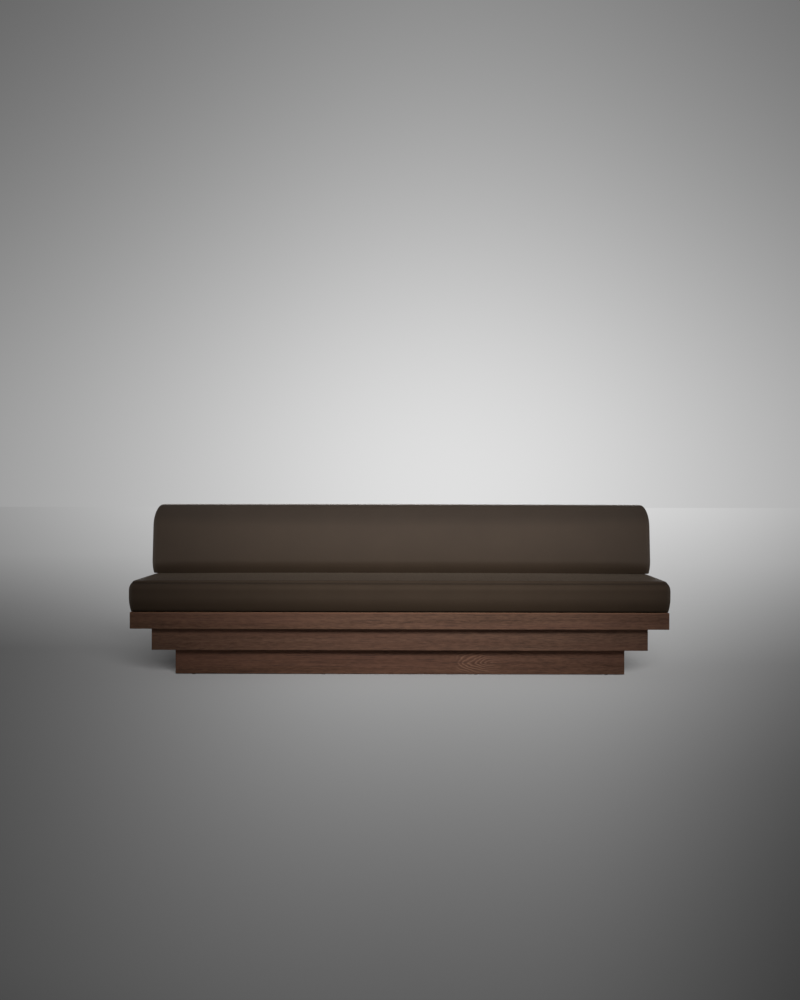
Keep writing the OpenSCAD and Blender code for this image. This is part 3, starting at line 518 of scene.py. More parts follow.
def rounded_foot(roll):
    """How far in and how high the rings of a rounded lower edge lie."""
    angles = [math.radians(angle) for angle in (0, 22, 45, 68, 90)]
    return [(roll * (1 - math.sin(a)), roll * (1 - math.cos(a))) for a in angles]


def bell(value, middle, width):
    """One at the middle, falling away smoothly over the width."""
    return math.exp(-(((value - middle) / width) ** 2))


def seam_dip(angle, seam_angle, roll, settings):
    """How deep the roll is drawn in at an angle: a soft valley with the sewn groove at its middle."""
    away = math.radians(abs(angle - seam_angle)) * roll
    soft = settings.valley_depth * bell(angle, seam_angle, settings.valley_spread)
    return soft + settings.groove_depth * max(0.0, 1 - away / (settings.groove_width / 2))


class CoverGrid:
    """The lines of a cover's mesh, seen from above. Lines within the kept stretches stay straight
    and in place on every ring, so that slots and zips have edges along them."""

    corner = 0.034
    half_turn = math.radians(45)

    def __init__(self, low, high, keep_x, keep_y, x_keys, settings):
        self.seam = settings.corner_seam
        self.half = high[0]
        self.front, self.rear = low[1], high[1]
        self.keep_x, self.keep_y = keep_x, keep_y
        fine = [self.corner * i / settings.corner_steps for i in range(settings.corner_steps)]
        right = steps([0, *x_keys, self.half - self.corner], settings.spacing)
        right += [self.half - c for c in reversed(fine)]
        self.x = np.array([-x for x in reversed(right[1:])] + right)
        middle = steps([self.front + self.corner, *keep_y, self.rear - self.corner], settings.spacing)
        self.y = np.array([self.front + c for c in fine] + middle + [self.rear - c for c in reversed(fine)])
        m, n = self.columns, self.lines = len(self.x) - 1, len(self.y) - 1
        self.border = [(i, 0) for i in range(m)] + [(m, j) for j in range(n)]
        self.border += [(i, n) for i in range(m, 0, -1)] + [(0, j) for j in range(n, 0, -1)]

    def turns(self):
        """How far round its corner each line stands: none on the straight, half a corner at its end."""
        from_side = self.half - np.abs(self.x)
        from_end = np.minimum(self.y - self.front, self.rear - self.y)
        return [self.half_turn * np.clip(1 - away / self.corner, 0, 1) for away in (from_side, from_end)]

    def places(self, a, f, b, r):
        """x of the columns and y of the lines on a rectangle 2a wide from f to b, with corners of r."""
        turn_x, turn_y = self.turns()
        near, kept = self.half - self.corner, self.keep_x
        x = np.interp(self.x, [-near, -kept, kept, near], [r - a, -kept, kept, a - r])
        x += np.sign(self.x) * r * np.sin(turn_x)
        straight = [self.front + self.corner, *self.keep_y, self.rear - self.corner]
        y = np.interp(self.y, straight, [f + r, *self.keep_y, b - r])
        y += np.sign(self.y - (self.front + self.rear) / 2) * r * np.sin(turn_y)
        return x, y

    def ring(self, a, f, b, r):
        """The border's points on that rounded rectangle. The rear corners are drawn in along their seams."""
        turn_x, turn_y = self.turns()
        x, y = self.places(a, f, b, r)
        points = []
        for i, j in self.border:
            px, py = x[i], y[j]
            on_side = i in (0, self.columns)
            if on_side and j == self.lines:
                inward = r * (1 - math.cos(self.half_turn)) + self.seam
                points.append((np.sign(self.x[i]) * (a - inward), b - inward))
                continue
            if on_side:
                px = np.sign(self.x[i]) * (a - r * (1 - math.cos(turn_y[j])))
            if j == 0:
                py = f + r * (1 - math.cos(turn_x[i]))
            elif j == self.lines:
                py = b - r * (1 - math.cos(turn_x[i]))
            points.append((px, py))
        return np.array(points)

    def inner(self, a, f, b, r):
        """The points inside the border, line by line."""
        x, y = self.places(a, f, b, r)
        return np.array([(px, py) for py in y[1:-1] for px in x[1:-1]])


class Openings:
    """Where a cover is open: for its zip at the rear, and for the posts."""

    rear_depth = 0.003

    def __init__(self, body, rear, cover):
        low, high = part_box(body + "_zip")
        self.rear = rear
        self.x = high.x + ZIP_GAP
        self.low_z, self.high_z = low.z - ZIP_GAP, high.z + ZIP_GAP
        self.slot_y = (POSTS_LOW.y - cover.slot_gap, POSTS_HIGH.y + cover.slot_gap)
        self.slots = [(left - cover.slot_gap, right + cover.slot_gap) for left, right in POST_SPANS]

    def grid(self, low, high, cover):
        """A grid with lines along every opening."""
        x_keys = sorted({round(abs(x), 5) for slot in self.slots for x in slot} | {round(self.x, 5)})
        return CoverGrid(low, high, self.x, self.slot_y, x_keys, cover)

    def at_slot(self, x, y, top=False):
        return self.slot_y[0] < y < self.slot_y[1] and any(low < x < high for low, high in self.slots)

    def at_slot_below(self, x, y, top):
        return not top and self.at_slot(x, y)

    def at_zip(self, point):
        x, y, z = point
        return y > self.rear - self.rear_depth and abs(x) < self.x and self.low_z < z < self.high_z


def cover_mesh(name, grid, rows, place_point, open_panel, open_band, seam_row):
    """A closed skin: a panel below, a band of rings and a panel on top, less the faces of its openings.
    place_point(x, y, row) gives a point, and rows start with (a, f, b, r, up, top share)."""
    count = len(grid.border)
    points = []
    for row in rows:
        points += [place_point(x, y, row) for x, y in grid.ring(*row[:4])]
    first_inner = len(points)
    for row in (rows[0], rows[-1]):
        points += [place_point(x, y, row) for x, y in grid.inner(*row[:4])]
    inner_count = (grid.columns - 1) * (grid.lines - 1)
    on_border = {place: k for k, place in enumerate(grid.border)}
    faces, cloth = [], []

    def panel_point(i, j, top):
        if (i, j) in on_border:
            return on_border[i, j] + (count * (len(rows) - 1) if top else 0)
        return first_inner + (inner_count if top else 0) + (j - 1) * (grid.columns - 1) + i - 1

    for top in (False, True):
        for j in range(grid.lines):
            for i in range(grid.columns):
                middle = ((grid.x[i] + grid.x[i + 1]) / 2, (grid.y[j] + grid.y[j + 1]) / 2)
                if open_panel(*middle, top):
                    continue
                corners = [(i, j), (i + 1, j), (i + 1, j + 1), (i, j + 1)]
                face = [panel_point(*c, top) for c in (corners if top else reversed(corners))]
                faces.append(face)
                cloth += [points[p][:2] for p in face]
    points = np.array(points)
    rings = points[: count * len(rows)].reshape(len(rows), count, 3)
    closed = np.concatenate([rings, rings[:, :1]], axis=1)
    widest = closed[len(rows) // 3]
    round_way = np.concatenate([[0], np.cumsum(np.linalg.norm(np.diff(widest, axis=0), axis=1))])
    up_way = np.concatenate([[0], np.cumsum(np.linalg.norm(np.diff(rings, axis=0), axis=2).mean(axis=1))])
    for k in range(len(rows) - 1):
        for i in range(count):
            j = (i + 1) % count
            if open_band((rings[k, i] + rings[k, j] + rings[k + 1, i] + rings[k + 1, j]) / 4):
                continue
            faces.append([k * count + i, k * count + j, (k + 1) * count + j, (k + 1) * count + i])
            if k >= seam_row:
                cloth += [points[p][:2] for p in faces[-1]]
            else:
                around = ((i, k), (i + 1, k), (i + 1, k + 1), (i, k + 1))
                cloth += [(round_way[c], up_way[r]) for c, r in around]
    piece = new_piece(name, [tuple(p) for p in points], faces=faces)
    layer = piece.data.uv_layers.new(name="Cloth")
    layer.data.foreach_set("uv", np.array(cloth, np.float32).ravel())
    piece.data.shade_smooth()
    return piece


def positions(mesh):
    """The places of a mesh's points, as an array."""
    places = np.empty(3 * len(mesh.vertices), np.float32)
    mesh.vertices.foreach_get("co", places)
    return places.reshape(-1, 3)


def blown_up(piece, fixed, cover):
    """Simulates the cover's cloth over its filling and moves its points as far as the cloth swells.
    The cloth is a coarser copy, held still where fixed(point) says so."""
    last_frame, neighbours, least_distance = 20, 8, 0.2 * cover.voxel
    scene = bpy.context.scene
    cloth = linked_object("cloth", piece.data.copy())
    remesh = cloth.modifiers.new("Remesh", "REMESH")
    remesh.mode = "VOXEL"
    remesh.voxel_size = cover.voxel
    make_plain(cloth)
    start = positions(cloth.data)
    held = cloth.vertex_groups.new(name="held")
    held.add([i for i, point in enumerate(start) if fixed(point)], 1.0, "REPLACE")
    soft = cloth.modifiers.new("Cloth", "CLOTH")
    soft.settings.vertex_group_mass = "held"
    soft.settings.use_pressure = True
    soft.settings.uniform_pressure_force = cover.pressure
    soft.settings.effector_weights.gravity = 0
    soft.settings.quality = 5
    soft.settings.tension_stiffness = 25
    soft.settings.compression_stiffness = 25
    soft.collision_settings.use_collision = False
    for moment in range(1, last_frame + 1):
        scene.frame_set(moment)
    graph = bpy.context.evaluated_depsgraph_get()
    swell = positions(cloth.evaluated_get(graph).data) - start
    swell *= cover.swell / max(cover.swell, float(np.linalg.norm(swell, axis=1).max()))
    cloth.modifiers.remove(soft)
    scene.frame_set(1)
    tree = KDTree(len(start))
    for i, point in enumerate(start):
        tree.insert(point, i)
    tree.balance()
    for vertex in piece.data.vertices:
        found = tree.find_n(vertex.co, neighbours)
        weights = np.array([1 / (distance + least_distance) for _, _, distance in found])
        move = Vector((swell[[i for _, i, _ in found]] * weights[:, None]).sum(axis=0) / weights.sum())
        out = max(0.0, move.dot(vertex.normal))
        if not fixed(vertex.co):
            vertex.co += vertex.normal * out
    old = cloth.data
    bpy.data.objects.remove(cloth)
    bpy.data.meshes.remove(old)


def sewn(piece, fixed, cover, material):
    """Blows the skin up and gives it the fabric's thickness, inwards, and its material."""
    blown_up(piece, fixed, cover)
    thick = piece.modifiers.new("Thickness", "SOLIDIFY")
    thick.thickness = cover.cloth
    thick.offset = -1
    thick.use_rim = True
    make_plain(piece)
    piece.data.materials.append(bpy.data.materials[material])


class SOFA_OT_seat_cover(bpy.types.Operator):
    """Build the seat cushion's fabric cover"""

    bl_idname = "sofa.seat_cover"
    bl_label = "Seat cover"

    def execute(self, context):
        seat, cover = context.scene.sofa_seat, context.scene.sofa_cover
        base = SEAT_LOW.z
        half, front, rear = SEAT_HIGH.x, SEAT_LOW.y, SEAT_HIGH.y
        openings = Openings("seat", rear, cover)
        grid = openings.grid(SEAT_LOW, SEAT_HIGH, cover)
        least_corner, end_share = 0.005, 0.7
        crown_end_share, crown_power = 0.87, 0.8
        settle_start, settle_width = BACK_LOW.y - 0.006, 0.016
        end_start, end_width = half - 0.07, 0.05
        held_foot, held_rear, held_ahead, held_skin = 0.035, 0.020, 0.030, 0.012

        def crown(x, y):
            """Rise of the top: highest in the middle, still there in front of the back, flat under it."""
            v = np.clip((y - front) / (BACK_LOW.y - front), 0, 1)
            share = math.sin(math.pi * crown_end_share * v) ** crown_power if v > 0 else 0.0
            under = np.clip((y - settle_start) / settle_width, 0, 1)
            under = under * under * (3 - 2 * under)
            return seat.crown * share * (1 - under) * (1 - (abs(x) / half) ** 3) - seat.settled * under

        rows = []

        def add_row(inset, up, share, fuller=0.0, lifted=0.0):
            """A ring of the cover. Its ends may be fuller and higher than its front and rear."""
            forward = tucked(up, seat.tuck_height, seat.front_tuck - seat.tuck)
            a, f, b = half - inset + fuller, front + inset + forward, rear - inset
            rows.append((a, f, b, max(seat.corner - inset, least_corner), up, share, lifted))

        for inward, up in rounded_foot(seat.base_roll):
            add_row(tucked(seat.base_roll, seat.tuck_height, seat.tuck) + inward, up, 0)
        zip_rows = openings.low_z - base, openings.high_z - base
        for up in (0.009, 0.014, 0.021, 0.030, 0.041, 0.053, 0.062, zip_rows[0], 0.075, zip_rows[1]):
            add_row(tucked(up, seat.tuck_height, seat.tuck), up, 0)
        # From here the rings go round the top edge, closer at the seam. It swells on both sides of the seam.
        below_seam, above_seam = (24, 15), (80, 12)
        groove = math.degrees(cover.groove_width / 2 / seat.roll_across)
        angles = [0, 7, 14, 21, 28, 35, 41]
        angles += [seat.seam_angle + groove * share for share in (-1, -0.5, 0, 0.5, 1)]
        angles += [63, 68, 74, 80, 85, 90]
        seam_row = len(rows) + angles.index(seat.seam_angle)
        for angle in angles:
            a = math.radians(angle)
            dip = seam_dip(angle, seat.seam_angle, seat.roll_across, cover)
            puff = seat.puff * (bell(angle, *below_seam) + 0.6 * bell(angle, *above_seam))
            across, down = seat.roll_across - dip + puff, seat.roll_down - dip + puff * (1 - angle / 90)
            inset = seat.roll_across - across * math.cos(a)
            fuller = end_share * (seat.roll_across - across) * math.cos(a)
            lifted = end_share * (seat.roll_down - down) * math.sin(a)
            add_row(inset, seat.height - seat.roll_down + down * math.sin(a), angle / 90, fuller, lifted)

        def place_point(x, y, row):
            up, share, lifted = row[4:]
            at_end = np.clip((abs(x) - end_start) / end_width, 0, 1)
            return (x, y, base + up + lifted * at_end + share * crown(x, y))

        def fixed(point):
            x, y, z = point
            under_back = y > BACK_LOW.y - held_ahead and z > base + seat.height - held_skin
            return z < base + held_foot or y > rear - held_rear or under_back

        name = "seat_cover_fabric"
        piece = cover_mesh(name, grid, rows, place_point, openings.at_slot, openings.at_zip, seam_row)
        # Painted shade along the seam's valley: darkest on the seam's ring, fading over three rings each side
        seam_shading = np.zeros(len(piece.data.vertices), np.float32)
        for away, share in ((0, 1), (1, 0.8), (2, 0.5), (3, 0.15)):
            for row in (seam_row - away, seam_row + away):
                seam_shading[row * len(grid.border) : (row + 1) * len(grid.border)] = share
        piece.data.attributes.new("seam_shade", "FLOAT", "POINT").data.foreach_set("value", seam_shading)
        sewn(piece, fixed, cover, "seat fabric")
        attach(piece, "seat")
        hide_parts("seat_cover")
        return {"FINISHED"}


class SOFA_OT_back_cover(bpy.types.Operator):
    """Build the back cushion's fabric cover"""

    bl_idname = "sofa.back_cover"
    bl_label = "Back cover"

    def execute(self, context):
        back, cover = context.scene.sofa_back, context.scene.sofa_cover
        base = BACK_LOW.z
        half, front, rear = BACK_HIGH.x, BACK_HIGH.y - back.depth, BACK_HIGH.y
        openings = Openings("back", rear, cover)
        grid = openings.grid(Vector((-half, front, base)), BACK_HIGH, cover)
        least_corner, corner_share, most_corner_share = 0.006, 0.7, 0.45
        held_foot, held_rear, held_above = 0.045, 0.020, 0.030
        zip_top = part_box("back_zip")[1].z
        rows = []

        def add_row(end_in, front_in, rear_in, up, share):
            tapered = back.taper * max(0.0, up - back.tuck_height) / (back.height - back.tuck_height)
            leaning = back.lean * up / back.height
            a, f, b = half - end_in - tapered, front + front_in + leaning, rear - rear_in
            r = max(back.corner - corner_share * (end_in + tapered), least_corner)
            rows.append((a, f, b, min(r, most_corner_share * (b - f)), up, share))

        roll = back.base_roll
        for inward, up in rounded_foot(roll):
            end = tucked(roll, back.tuck_height, back.end_tuck) + inward
            add_row(end, tucked(roll, back.tuck_height, back.front_tuck) + inward, end, up, 0)
        zip_rows = openings.low_z - base, openings.high_z - base
        ups = [0.009, 0.014, 0.020, 0.027, 0.035, 0.044, 0.053, zip_rows[0], 0.073, zip_rows[1]]
        ups += steps([0.095, back.height - back.corner_down - 0.012], 0.013)
        for up in ups:
            end = tucked(up, back.tuck_height, back.end_tuck)
            add_row(end, tucked(up, back.tuck_height, back.front_tuck), end, up, 0)
        for angle in (0, 6, 12, 18, 24, 30, 36, 42, 48, 54, 59, 64, 69, 74, 78, 82, 86, 90):
            a = math.radians(angle)
            out, up = 1 - math.cos(a), back.height - back.corner_down * (1 - math.sin(a))
            add_row(back.corner_across * out, back.front_roll * out, back.rear_roll * out, up, math.sin(a))

        def place_point(x, y, row):
            a, f, b, r, up, share = row
            across = (y - f) / (b - f)
            wide = 1 - (abs(x) / half) ** 4
            swell = back.swell * wide * math.sin(math.pi * min(1, up / back.height)) * max(0, 1 - 2 * across)
            return (x, y - (1 - share) * swell, base + up + back.crown * share * (1 - (x / half) ** 2))

        def fixed(point):
            x, y, z = point
            return z < base + held_foot or (y > rear - held_rear and z < zip_top + held_above)

        name = "back_cover_fabric"
        piece = cover_mesh(name, grid, rows, place_point, openings.at_slot_below, openings.at_zip, len(rows))
        sewn(piece, fixed, cover, "back fabric")
        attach(piece, "back")
        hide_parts("back_cover")
        return {"FINISHED"}


# Zips and stitches


def rods_group(name, material, seed, sizes):
    """Geometry nodes that set rods along every edge chain of a mesh, lying along it or upright."""
    group = bpy.data.node_groups.new(name, "GeometryNodeTree")
    group.interface.new_socket(name="Path", in_out="INPUT", socket_type="NodeSocketGeometry")
    for key in sizes:
        group.interface.new_socket(name=key, in_out="INPUT", socket_type="NodeSocketFloat")
    group.interface.new_socket(name="Rods", in_out="OUTPUT", socket_type="NodeSocketGeometry")
    nodes = Nodes(group, prefix="")
    given = nodes.add("NodeGroupInput").outputs
    curve = nodes.add("GeometryNodeMeshToCurve", {"Mesh": given["Path"]}).outputs[0]
    steps_along = {"Curve": curve, "Length": given["Pitch"]}
    spaced = nodes.add("GeometryNodeResampleCurve", steps_along, mode="LENGTH").outputs[0]
    shape = {"Vertices": 6, "Radius": given["Radius"], "Depth": given["Length"]}
    rod = nodes.add("GeometryNodeMeshCylinder", shape).outputs[0]
    way = {"Factor": given["Along"], "Vector": nodes.add("GeometryNodeInputTangent").outputs[0]}
    turn = nodes.add("FunctionNodeAlignRotationToVector", way, axis="Z").outputs[0]
    size = nodes.add("FunctionNodeRandomValue", {"Seed": seed}, data_type="FLOAT")
    for socket, operation in ((2, "SUBTRACT"), (3, "ADD")):
        limit = nodes.add("ShaderNodeMath", {0: 1.0, 1: given["Unevenness"]}, operation=operation)
        nodes.feed(size, socket, limit.outputs[0])
    copies = {"Points": spaced, "Instance": rod, "Rotation": turn, "Scale": size.outputs[1]}
    placed = nodes.add("GeometryNodeInstanceOnPoints", copies).outputs[0]
    real = nodes.add("GeometryNodeRealizeInstances", {0: placed}).outputs[0]
    done = nodes.add("GeometryNodeSetMaterial", {"Geometry": real, "Material": material}).outputs[0]
    nodes.add("NodeGroupOutput", {0: done})
    return group


def rods_along(name, paths, material, radius, length, pitch, along, seed):
    """A piece with rods set along the paths by geometry nodes."""
    points, edges = [], []
    for path, closed in paths:
        first = len(points)
        points += path
        edges += [(first + i, first + i + 1) for i in range(len(path) - 1)]
        if closed:
            edges.append((len(points) - 1, first))
    piece = new_piece(name, points, edges)
    sizes = {"Radius": radius, "Length": length, "Pitch": pitch, "Along": along, "Unevenness": 0.06}
    rows = piece.modifiers.new("Rods", "NODES")
    rows.node_group = rods_group(name, material, seed, sizes)
    for item in rows.node_group.interface.items_tree:
        if item.in_out == "INPUT" and item.name in sizes:
            rows[item.identifier] = sizes[item.name]
    make_plain(piece)
    piece.data.shade_smooth()
    return piece


def rectangle(low, high, level, plane):
    """The corners of a rectangle, in a plane at a level: upright at y, or flat at z."""
    (a, b), (c, d) = low, high
    corners = [(a, b), (c, b), (c, d), (a, d)]
    return [(u, level, v) if plane == "y" else (u, v, level) for u, v in corners]


class SOFA_OT_zips(bpy.types.Operator):
    """Build the zips' tapes and teeth, and the stitches round the openings"""

    bl_idname = "sofa.zips"
    bl_label = "Zips and stitches"

    def execute(self, context):
        scene = context.scene
        cover, sewing, finish = scene.sofa_cover, scene.sofa_sewing, scene.sofa_finish
        relief = (0.0002, 0.5)
        weave = patterned_material("zip tape", finish.nylon, herringbone, 0.7, 1.8, relief, roughness=0.8)
        thread = patterned_material("sewing thread", finish.thread, twisted, 0.7, 1.2, roughness=0.6)
        nylon = bpy.data.materials["black nylon"]
        # The stitches stand proud of the cloth, and lie wider round the back's slots than round the seat's
        hem, proud, wider = sewing.hem, 0.0002, 0.002
        ring = sewing.slot_ring
        seat_rings = [(SEAT_LOW.z + proud, ring), (BACK_LOW.z - ZIP_GAP - proud, ring)]
        back_rings = [(BACK_LOW.z + proud, ring + wider)]
        for body, rear, rings in (("seat", SEAT_HIGH.y, seat_rings), ("back", BACK_HIGH.y, back_rings)):
            low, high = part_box(body + "_zip")
            face = high.y - sewing.tape_inset
            corners = [(x, y, z) for x in (low.x, high.x) for y in (low.y, face) for z in (low.z, high.z)]
            sides = [(0, 1, 3, 2), (4, 6, 7, 5), (0, 4, 5, 1), (2, 3, 7, 6), (0, 2, 6, 4), (1, 5, 7, 3)]
            tape = new_piece(body + "_zip_tape", corners, faces=sides)
            tape.data.materials.append(weave)
            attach(tape, body)
            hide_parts(body + "_zip")
            rows = []
            for side in (-1, 1):
                y, z = face + proud, (low.z + high.z) / 2 + side * sewing.row_shift
                start = low.x + sewing.end_room + sewing.tooth_pitch / 2 * (side > 0)
                rows.append(([(start, y, z), (high.x - sewing.end_room, y, z)], False))
            tooth = sewing.tooth_radius, sewing.tooth_length, sewing.tooth_pitch
            teeth = rods_along(body + "_zip_teeth", rows, nylon, *tooth, along=0.0, seed=3)
            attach(teeth, body)
            rim = rectangle((low.x - hem, low.z - hem), (high.x + hem, high.z + hem), rear + proud / 2, "y")
            rows = [(rim, True)]
            for level, out in rings:
                room = cover.slot_gap + out
                for left, right in POST_SPANS:
                    low_corner = (left - room, POSTS_LOW.y - room)
                    high_corner = (right + room, POSTS_HIGH.y + room)
                    rows.append((rectangle(low_corner, high_corner, level, "z"), True))
            stitch = sewing.thread_radius, sewing.stitch, sewing.stitch_pitch
            stitches = rods_along(body + "_stitches", rows, thread, *stitch, along=1.0, seed=7)
            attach(stitches, body)
        return {"FINISHED"}


# Finishes and studio


class SOFA_OT_finishes(bpy.types.Operator):
    """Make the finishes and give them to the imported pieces"""

    bl_idname = "sofa.finishes"
    bl_label = "Finishes"

    def execute(self, context):
        finish = context.scene.sofa_finish
        back_look = dict(shine=0.33, sheen=0.05, upright=0.16, top=0.68, shade_below=0.74, foot=-0.62)
        seat_look = dict(shine=0.12, sheen=0.04, upright=0.42, top=0.90, shade_below=0.62, foot=-0.38)
        back_fabric = fabric_material("back fabric", finish.fabric, **back_look)
        # The seat's copy of the same fabric is painted 11% darker than the back's, as painted shade
        fabric_material("seat fabric", tinted(finish.fabric, 0.89), **seat_look)
        skin, cells, tufts = (0.00005, 0.5), (0.0004, 0.6), (0.002, 0.5)
        by_slot = {
            "zinc": metal_material("zinc plate", finish.zinc, 0.36),
            "steel": metal_material("drawn steel", finish.steel, 0.42),
            "nylon": patterned_material("black nylon", finish.nylon, moulded, 0.8, 1.3, skin, roughness=0.48),
            "foam": patterned_material("open foam", finish.foam, open_cells, 0.8, 1.0, cells, roughness=0.95),
            "fibre_wrap": patterned_material(
                "carded fibre", finish.fibre, carded_tufts, 0.86, 1.0, tufts, roughness=0.95, sheen_weight=0.5
            ),
            "fabric": back_fabric,
        }
        # Each tier's tint of the oak: the lower tier is redder in its own tone, and darker as painted shade
        tier_tone_and_shade = ((1.05, 1.02, 1.00), (1.08, 1.15, 1.20), (1.12, 1.17, 1.19))
        ply = {axis: ply_material(f"birch ply {axis}", finish.birch, axis) for axis in "xyz"}
        for place, (name, node) in enumerate(frame["nodes"].items()):
            slot_name = next(s["material_slot"] for s in frame["record"]["subparts"] if s["node"] == name)
            if slot_name == "oak":
                along = "y" if "left" in name or "right" in name else "x"
                tier = 0 if "lower" in name else 1 if "middle" in name else 2
                # Each board is cut from another part of the timber
                shift = (1.7 * place, 0.31 * place, 0.13 * tier)
                figured = name == "lower_front_board"
                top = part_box(name)[1].z
                material = oak_material(name + " oak", finish, along, shift, top, tier_tone_and_shade[tier], figured)
            elif slot_name == "birch_ply":
                size = np.subtract(*reversed(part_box(name)))
                material = ply["x" if "ribs" in name else "xyz"[int(np.argmin(size))]]
            else:
                material = by_slot[slot_name]
            node.data.materials.clear()
            node.data.materials.append(material)
        return {"FINISHED"}


def seen_directly(nodes):
    """One for rays from the camera, for reflections and through glass."""
    path = nodes.add("LightPath").outputs
    direct = nodes.math("MAXIMUM", path["Is Camera Ray"], path["Is Glossy Ray"])
    return nodes.math("MAXIMUM", direct, path["Is Transmission Ray"])


def soft_fall(nodes, value, width, edge):
    """One where value is nought, and less the further it is from that, as far as the edge."""
    share = nodes.math("DIVIDE", nodes.math("MINIMUM", nodes.math("ABSOLUTE", value), edge), width)
    return nodes.math("DIVIDE", 1.0, nodes.scaled(share, share, 1.0))


def floor_material(name, stage):
    """A floor that takes the lamps' light near the sofa and fades into the backdrop behind it. Its colour is
    a
    painted pool of light: brightest behind the middle, darker to the sides and towards the camera, and darker
    to the left as painted shade.
    """
    nearest, fade_power = 1.6, 1.6
    # The glow's spread to each side, which narrows from the far floor to the near floor and widens again
    left_spreads = ((0.045, 0.11, 0.285, 0.178), (0.11, 0.33, 0.0, 0.137))
    right_spreads = ((0.05, 0.12, 0.285, 0.222), (0.2, 0.35, 0.0, 0.025))
    sides = (left_spreads, right_spreads)
    material, nodes = new_material(name, specular=0.1, roughness=0.95)
    axes = nodes.axes(nodes.place())
    camera_y, camera_z = stage.camera_place[1:]
    away = nodes.math("MAXIMUM", nodes.math("SUBTRACT", axes["Y"], camera_y), nearest)
    down = nodes.math("DIVIDE", camera_z, away)
    aside = nodes.math("SUBTRACT", nodes.math("DIVIDE", axes["X"], away), stage.glow_centre)
    left, right = (nodes.plus(*(nodes.ranged(down, *spread) for spread in spreads)) for spreads in sides)
    to_right = nodes.ranged(aside, -0.01, 0.01)
    width = nodes.add("Mix", {0: to_right, 2: left, 3: right}).outputs[0]
    out = nodes.math("DIVIDE", nodes.math("MINIMUM", nodes.math("ABSOLUTE", aside), stage.glow_edge), width)
    steep = nodes.scaled(to_right, 0.8, 2.5)
    side = nodes.math("DIVIDE", 1.0, nodes.plus(nodes.math("POWER", out, steep), 1.0))
    fade = nodes.math("POWER", nodes.math("DIVIDE", down, stage.floor_fade), fade_power)
    shade = nodes.times(side, nodes.math("DIVIDE", stage.glow_level, nodes.plus(fade, 1.0)))
    ahead = nodes.ranged(axes["Y"], camera_y + 1.2, camera_y + 2.3, smooth=True)
    shade = nodes.add("Mix", {0: ahead, 2: stage.floor_behind, 3: shade}).outputs[0]
    nodes.dress(base_color=nodes.times(shade, stage.floor_gain))
    # Painted light: beyond the sofa the floor glows with the same pool, though it is no lamp
    plain = nodes.add("Emission", {"Color": shade, "Strength": 1.0}).outputs[0]
    far = nodes.ranged(axes["Y"], 1.0, 4.0, smooth=True)
    seen = nodes.add("MixShader", {0: far, 1: nodes.shader.outputs[0], 2: plain}).outputs[0]
    bounce = nodes.add("BsdfDiffuse", {"Color": (*stage.floor, 1)}).outputs[0]
    whole = nodes.add("MixShader", {0: seen_directly(nodes), 1: bounce, 2: seen}).outputs[0]
    nodes.feed(nodes.output, "Surface", whole)
    return material


def backdrop(stage):
    """A world that glows softly behind the sofa and lights it evenly from all round."""
    world = bpy.data.worlds.new("studio")
    world.use_nodes = True
    nodes = Nodes(world.node_tree)
    nodes.tree.nodes.clear()
    light = nodes.add("Background", {"Color": (1, 1, 1, 1), "Strength": stage.world_level}).outputs[0]
    way = nodes.axes(nodes.add("TexCoord").outputs["Generated"])
    aside = nodes.math("SUBTRACT", way["X"], stage.glow_centre)
    side = soft_fall(nodes, aside, stage.glow_width, stage.glow_edge)
    high = soft_fall(nodes, way["Z"], stage.glow_height, stage.glow_edge)
    glow = nodes.times(nodes.times(side, high), stage.glow_level)
    seen = nodes.add("Background", {"Color": glow, "Strength": 1.0}).outputs[0]
    mix = nodes.add("MixShader", {0: seen_directly(nodes), 1: light, 2: seen})
    nodes.add("OutputWorld", {"Surface": mix.outputs[0]})
    return world


def add_lamp(name, kind, place, target, power, lit, **settings):
    """A lamp at a place, turned to its target and hidden from the camera. It lights one collection."""
    data = bpy.data.lights.new(name, kind)
    data.energy = power
    for key, value in settings.items():
        setattr(data, key, value)
    lamp = linked_object(name, data)
    lamp.location = place
    lamp.rotation_euler = (Vector(target) - Vector(place)).to_track_quat("-Z", "Y").to_euler()
    lamp.visible_camera = False
    lamp.light_linking.receiver_collection = lit


def add_panel_lamp(name, place, target, power, lit, width, height):
    """A rectangular lamp."""
    add_lamp(name, "AREA", place, target, power, lit, shape="RECTANGLE", size=width, size_y=height)


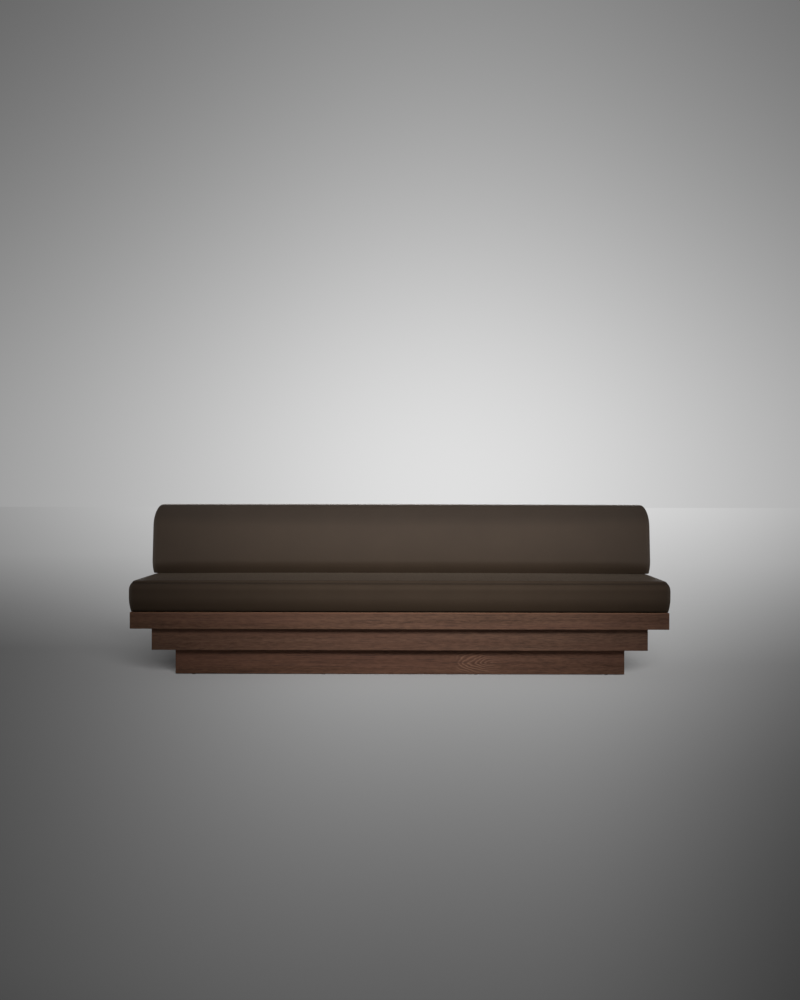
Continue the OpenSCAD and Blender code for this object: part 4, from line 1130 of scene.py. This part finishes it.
class SOFA_OT_stage(bpy.types.Operator):
    """Set up the floor, the lamps and the camera"""

    bl_idname = "sofa.stage"
    bl_label = "Studio"

    def execute(self, context):
        stage, scene = context.scene.sofa_stage, context.scene
        camera = linked_object("camera", bpy.data.cameras.new("camera"))
        camera.data.lens = stage.lens
        camera.data.shift_x = stage.shift
        camera.location = stage.camera_place
        camera.rotation_euler = Euler([math.radians(a) for a in (90 - stage.pitch, stage.roll, stage.yaw)])
        scene.camera = camera
        scene.view_settings.view_transform = "Standard"
        scene.world = backdrop(stage)

        reach = stage.reach
        corners = [(-reach, -reach, 0), (reach, -reach, 0), (reach, reach, 0), (-reach, reach, 0)]
        floor = new_piece("studio_floor", corners, faces=[(0, 1, 2, 3)])
        floor.data.materials.append(floor_material("studio floor", stage))
        on_floor = bpy.data.collections.new("studio floor")
        on_floor.objects.link(floor)
        on_sofa = bpy.data.collections.new("all but the floor")
        on_sofa.objects.link(floor)
        on_sofa.collection_objects[0].light_linking.link_state = "EXCLUDE"

        add_lamp(
            "key lamp", "SPOT", stage.key_place, stage.key_target, stage.key_power, on_sofa,
            spot_size=math.radians(stage.key_cone), spot_blend=1.0, shadow_soft_size=stage.key_size,
        )
        wide = math.radians(stage.floor_angle)
        add_lamp("floor lamp", "SUN", (0.5, -4.0, 0.95), (0, 0, 0), stage.floor_power, on_floor, angle=wide)
        for side in (-1, 1):
            rear_place, rear_target = (0.9 * side, 5.0, 2.4), (0.6 * side, 0.3, 0.5)
            add_panel_lamp("rear lamp", rear_place, rear_target, stage.fill_power, on_sofa, 2.0, 1.0)
            end_place, end_target = (5.5 * side, 0.4, 0.5), (1.2 * side, 0.0, 0.4)
            add_panel_lamp("end lamp", end_place, end_target, stage.end_power, on_sofa, 2.4, 0.5)
        add_panel_lamp("top lamp", (0, 0.1, 3.3), (0, 0.1, 0), stage.top_power, on_sofa, 2.6, 1.0)
        return {"FINISHED"}


class SOFA_PT_panel(bpy.types.Panel):
    """Shows the sofa's operators and their settings"""

    bl_label = "Plinth sofa"
    bl_idname = "SOFA_PT_panel"
    bl_space_type = "VIEW_3D"
    bl_region_type = "UI"
    bl_category = "Sofa"

    def draw(self, context):
        for operator in OPERATORS:
            self.layout.operator(operator.bl_idname)
        for name in SETTINGS:
            box = self.layout.box()
            for key in getattr(context.scene, name).__annotations__:
                box.prop(getattr(context.scene, name), key)


OPERATORS = (SOFA_OT_finishes, SOFA_OT_seat_cover, SOFA_OT_back_cover, SOFA_OT_zips, SOFA_OT_stage)


def register():
    for settings in SETTINGS.values():
        bpy.utils.register_class(settings)
    for name, settings in SETTINGS.items():
        setattr(bpy.types.Scene, name, PointerProperty(type=settings))
    for operator in OPERATORS:
        bpy.utils.register_class(operator)
    bpy.utils.register_class(SOFA_PT_panel)


def unregister():
    bpy.utils.unregister_class(SOFA_PT_panel)
    for operator in reversed(OPERATORS):
        bpy.utils.unregister_class(operator)
    for name, settings in SETTINGS.items():
        delattr(bpy.types.Scene, name)
        bpy.utils.unregister_class(settings)


def main():
    register()
    bpy.ops.sofa.finishes()
    bpy.ops.sofa.seat_cover()
    bpy.ops.sofa.back_cover()
    bpy.ops.sofa.zips()
    bpy.ops.sofa.stage()


if __name__ == "__main__":
    main()
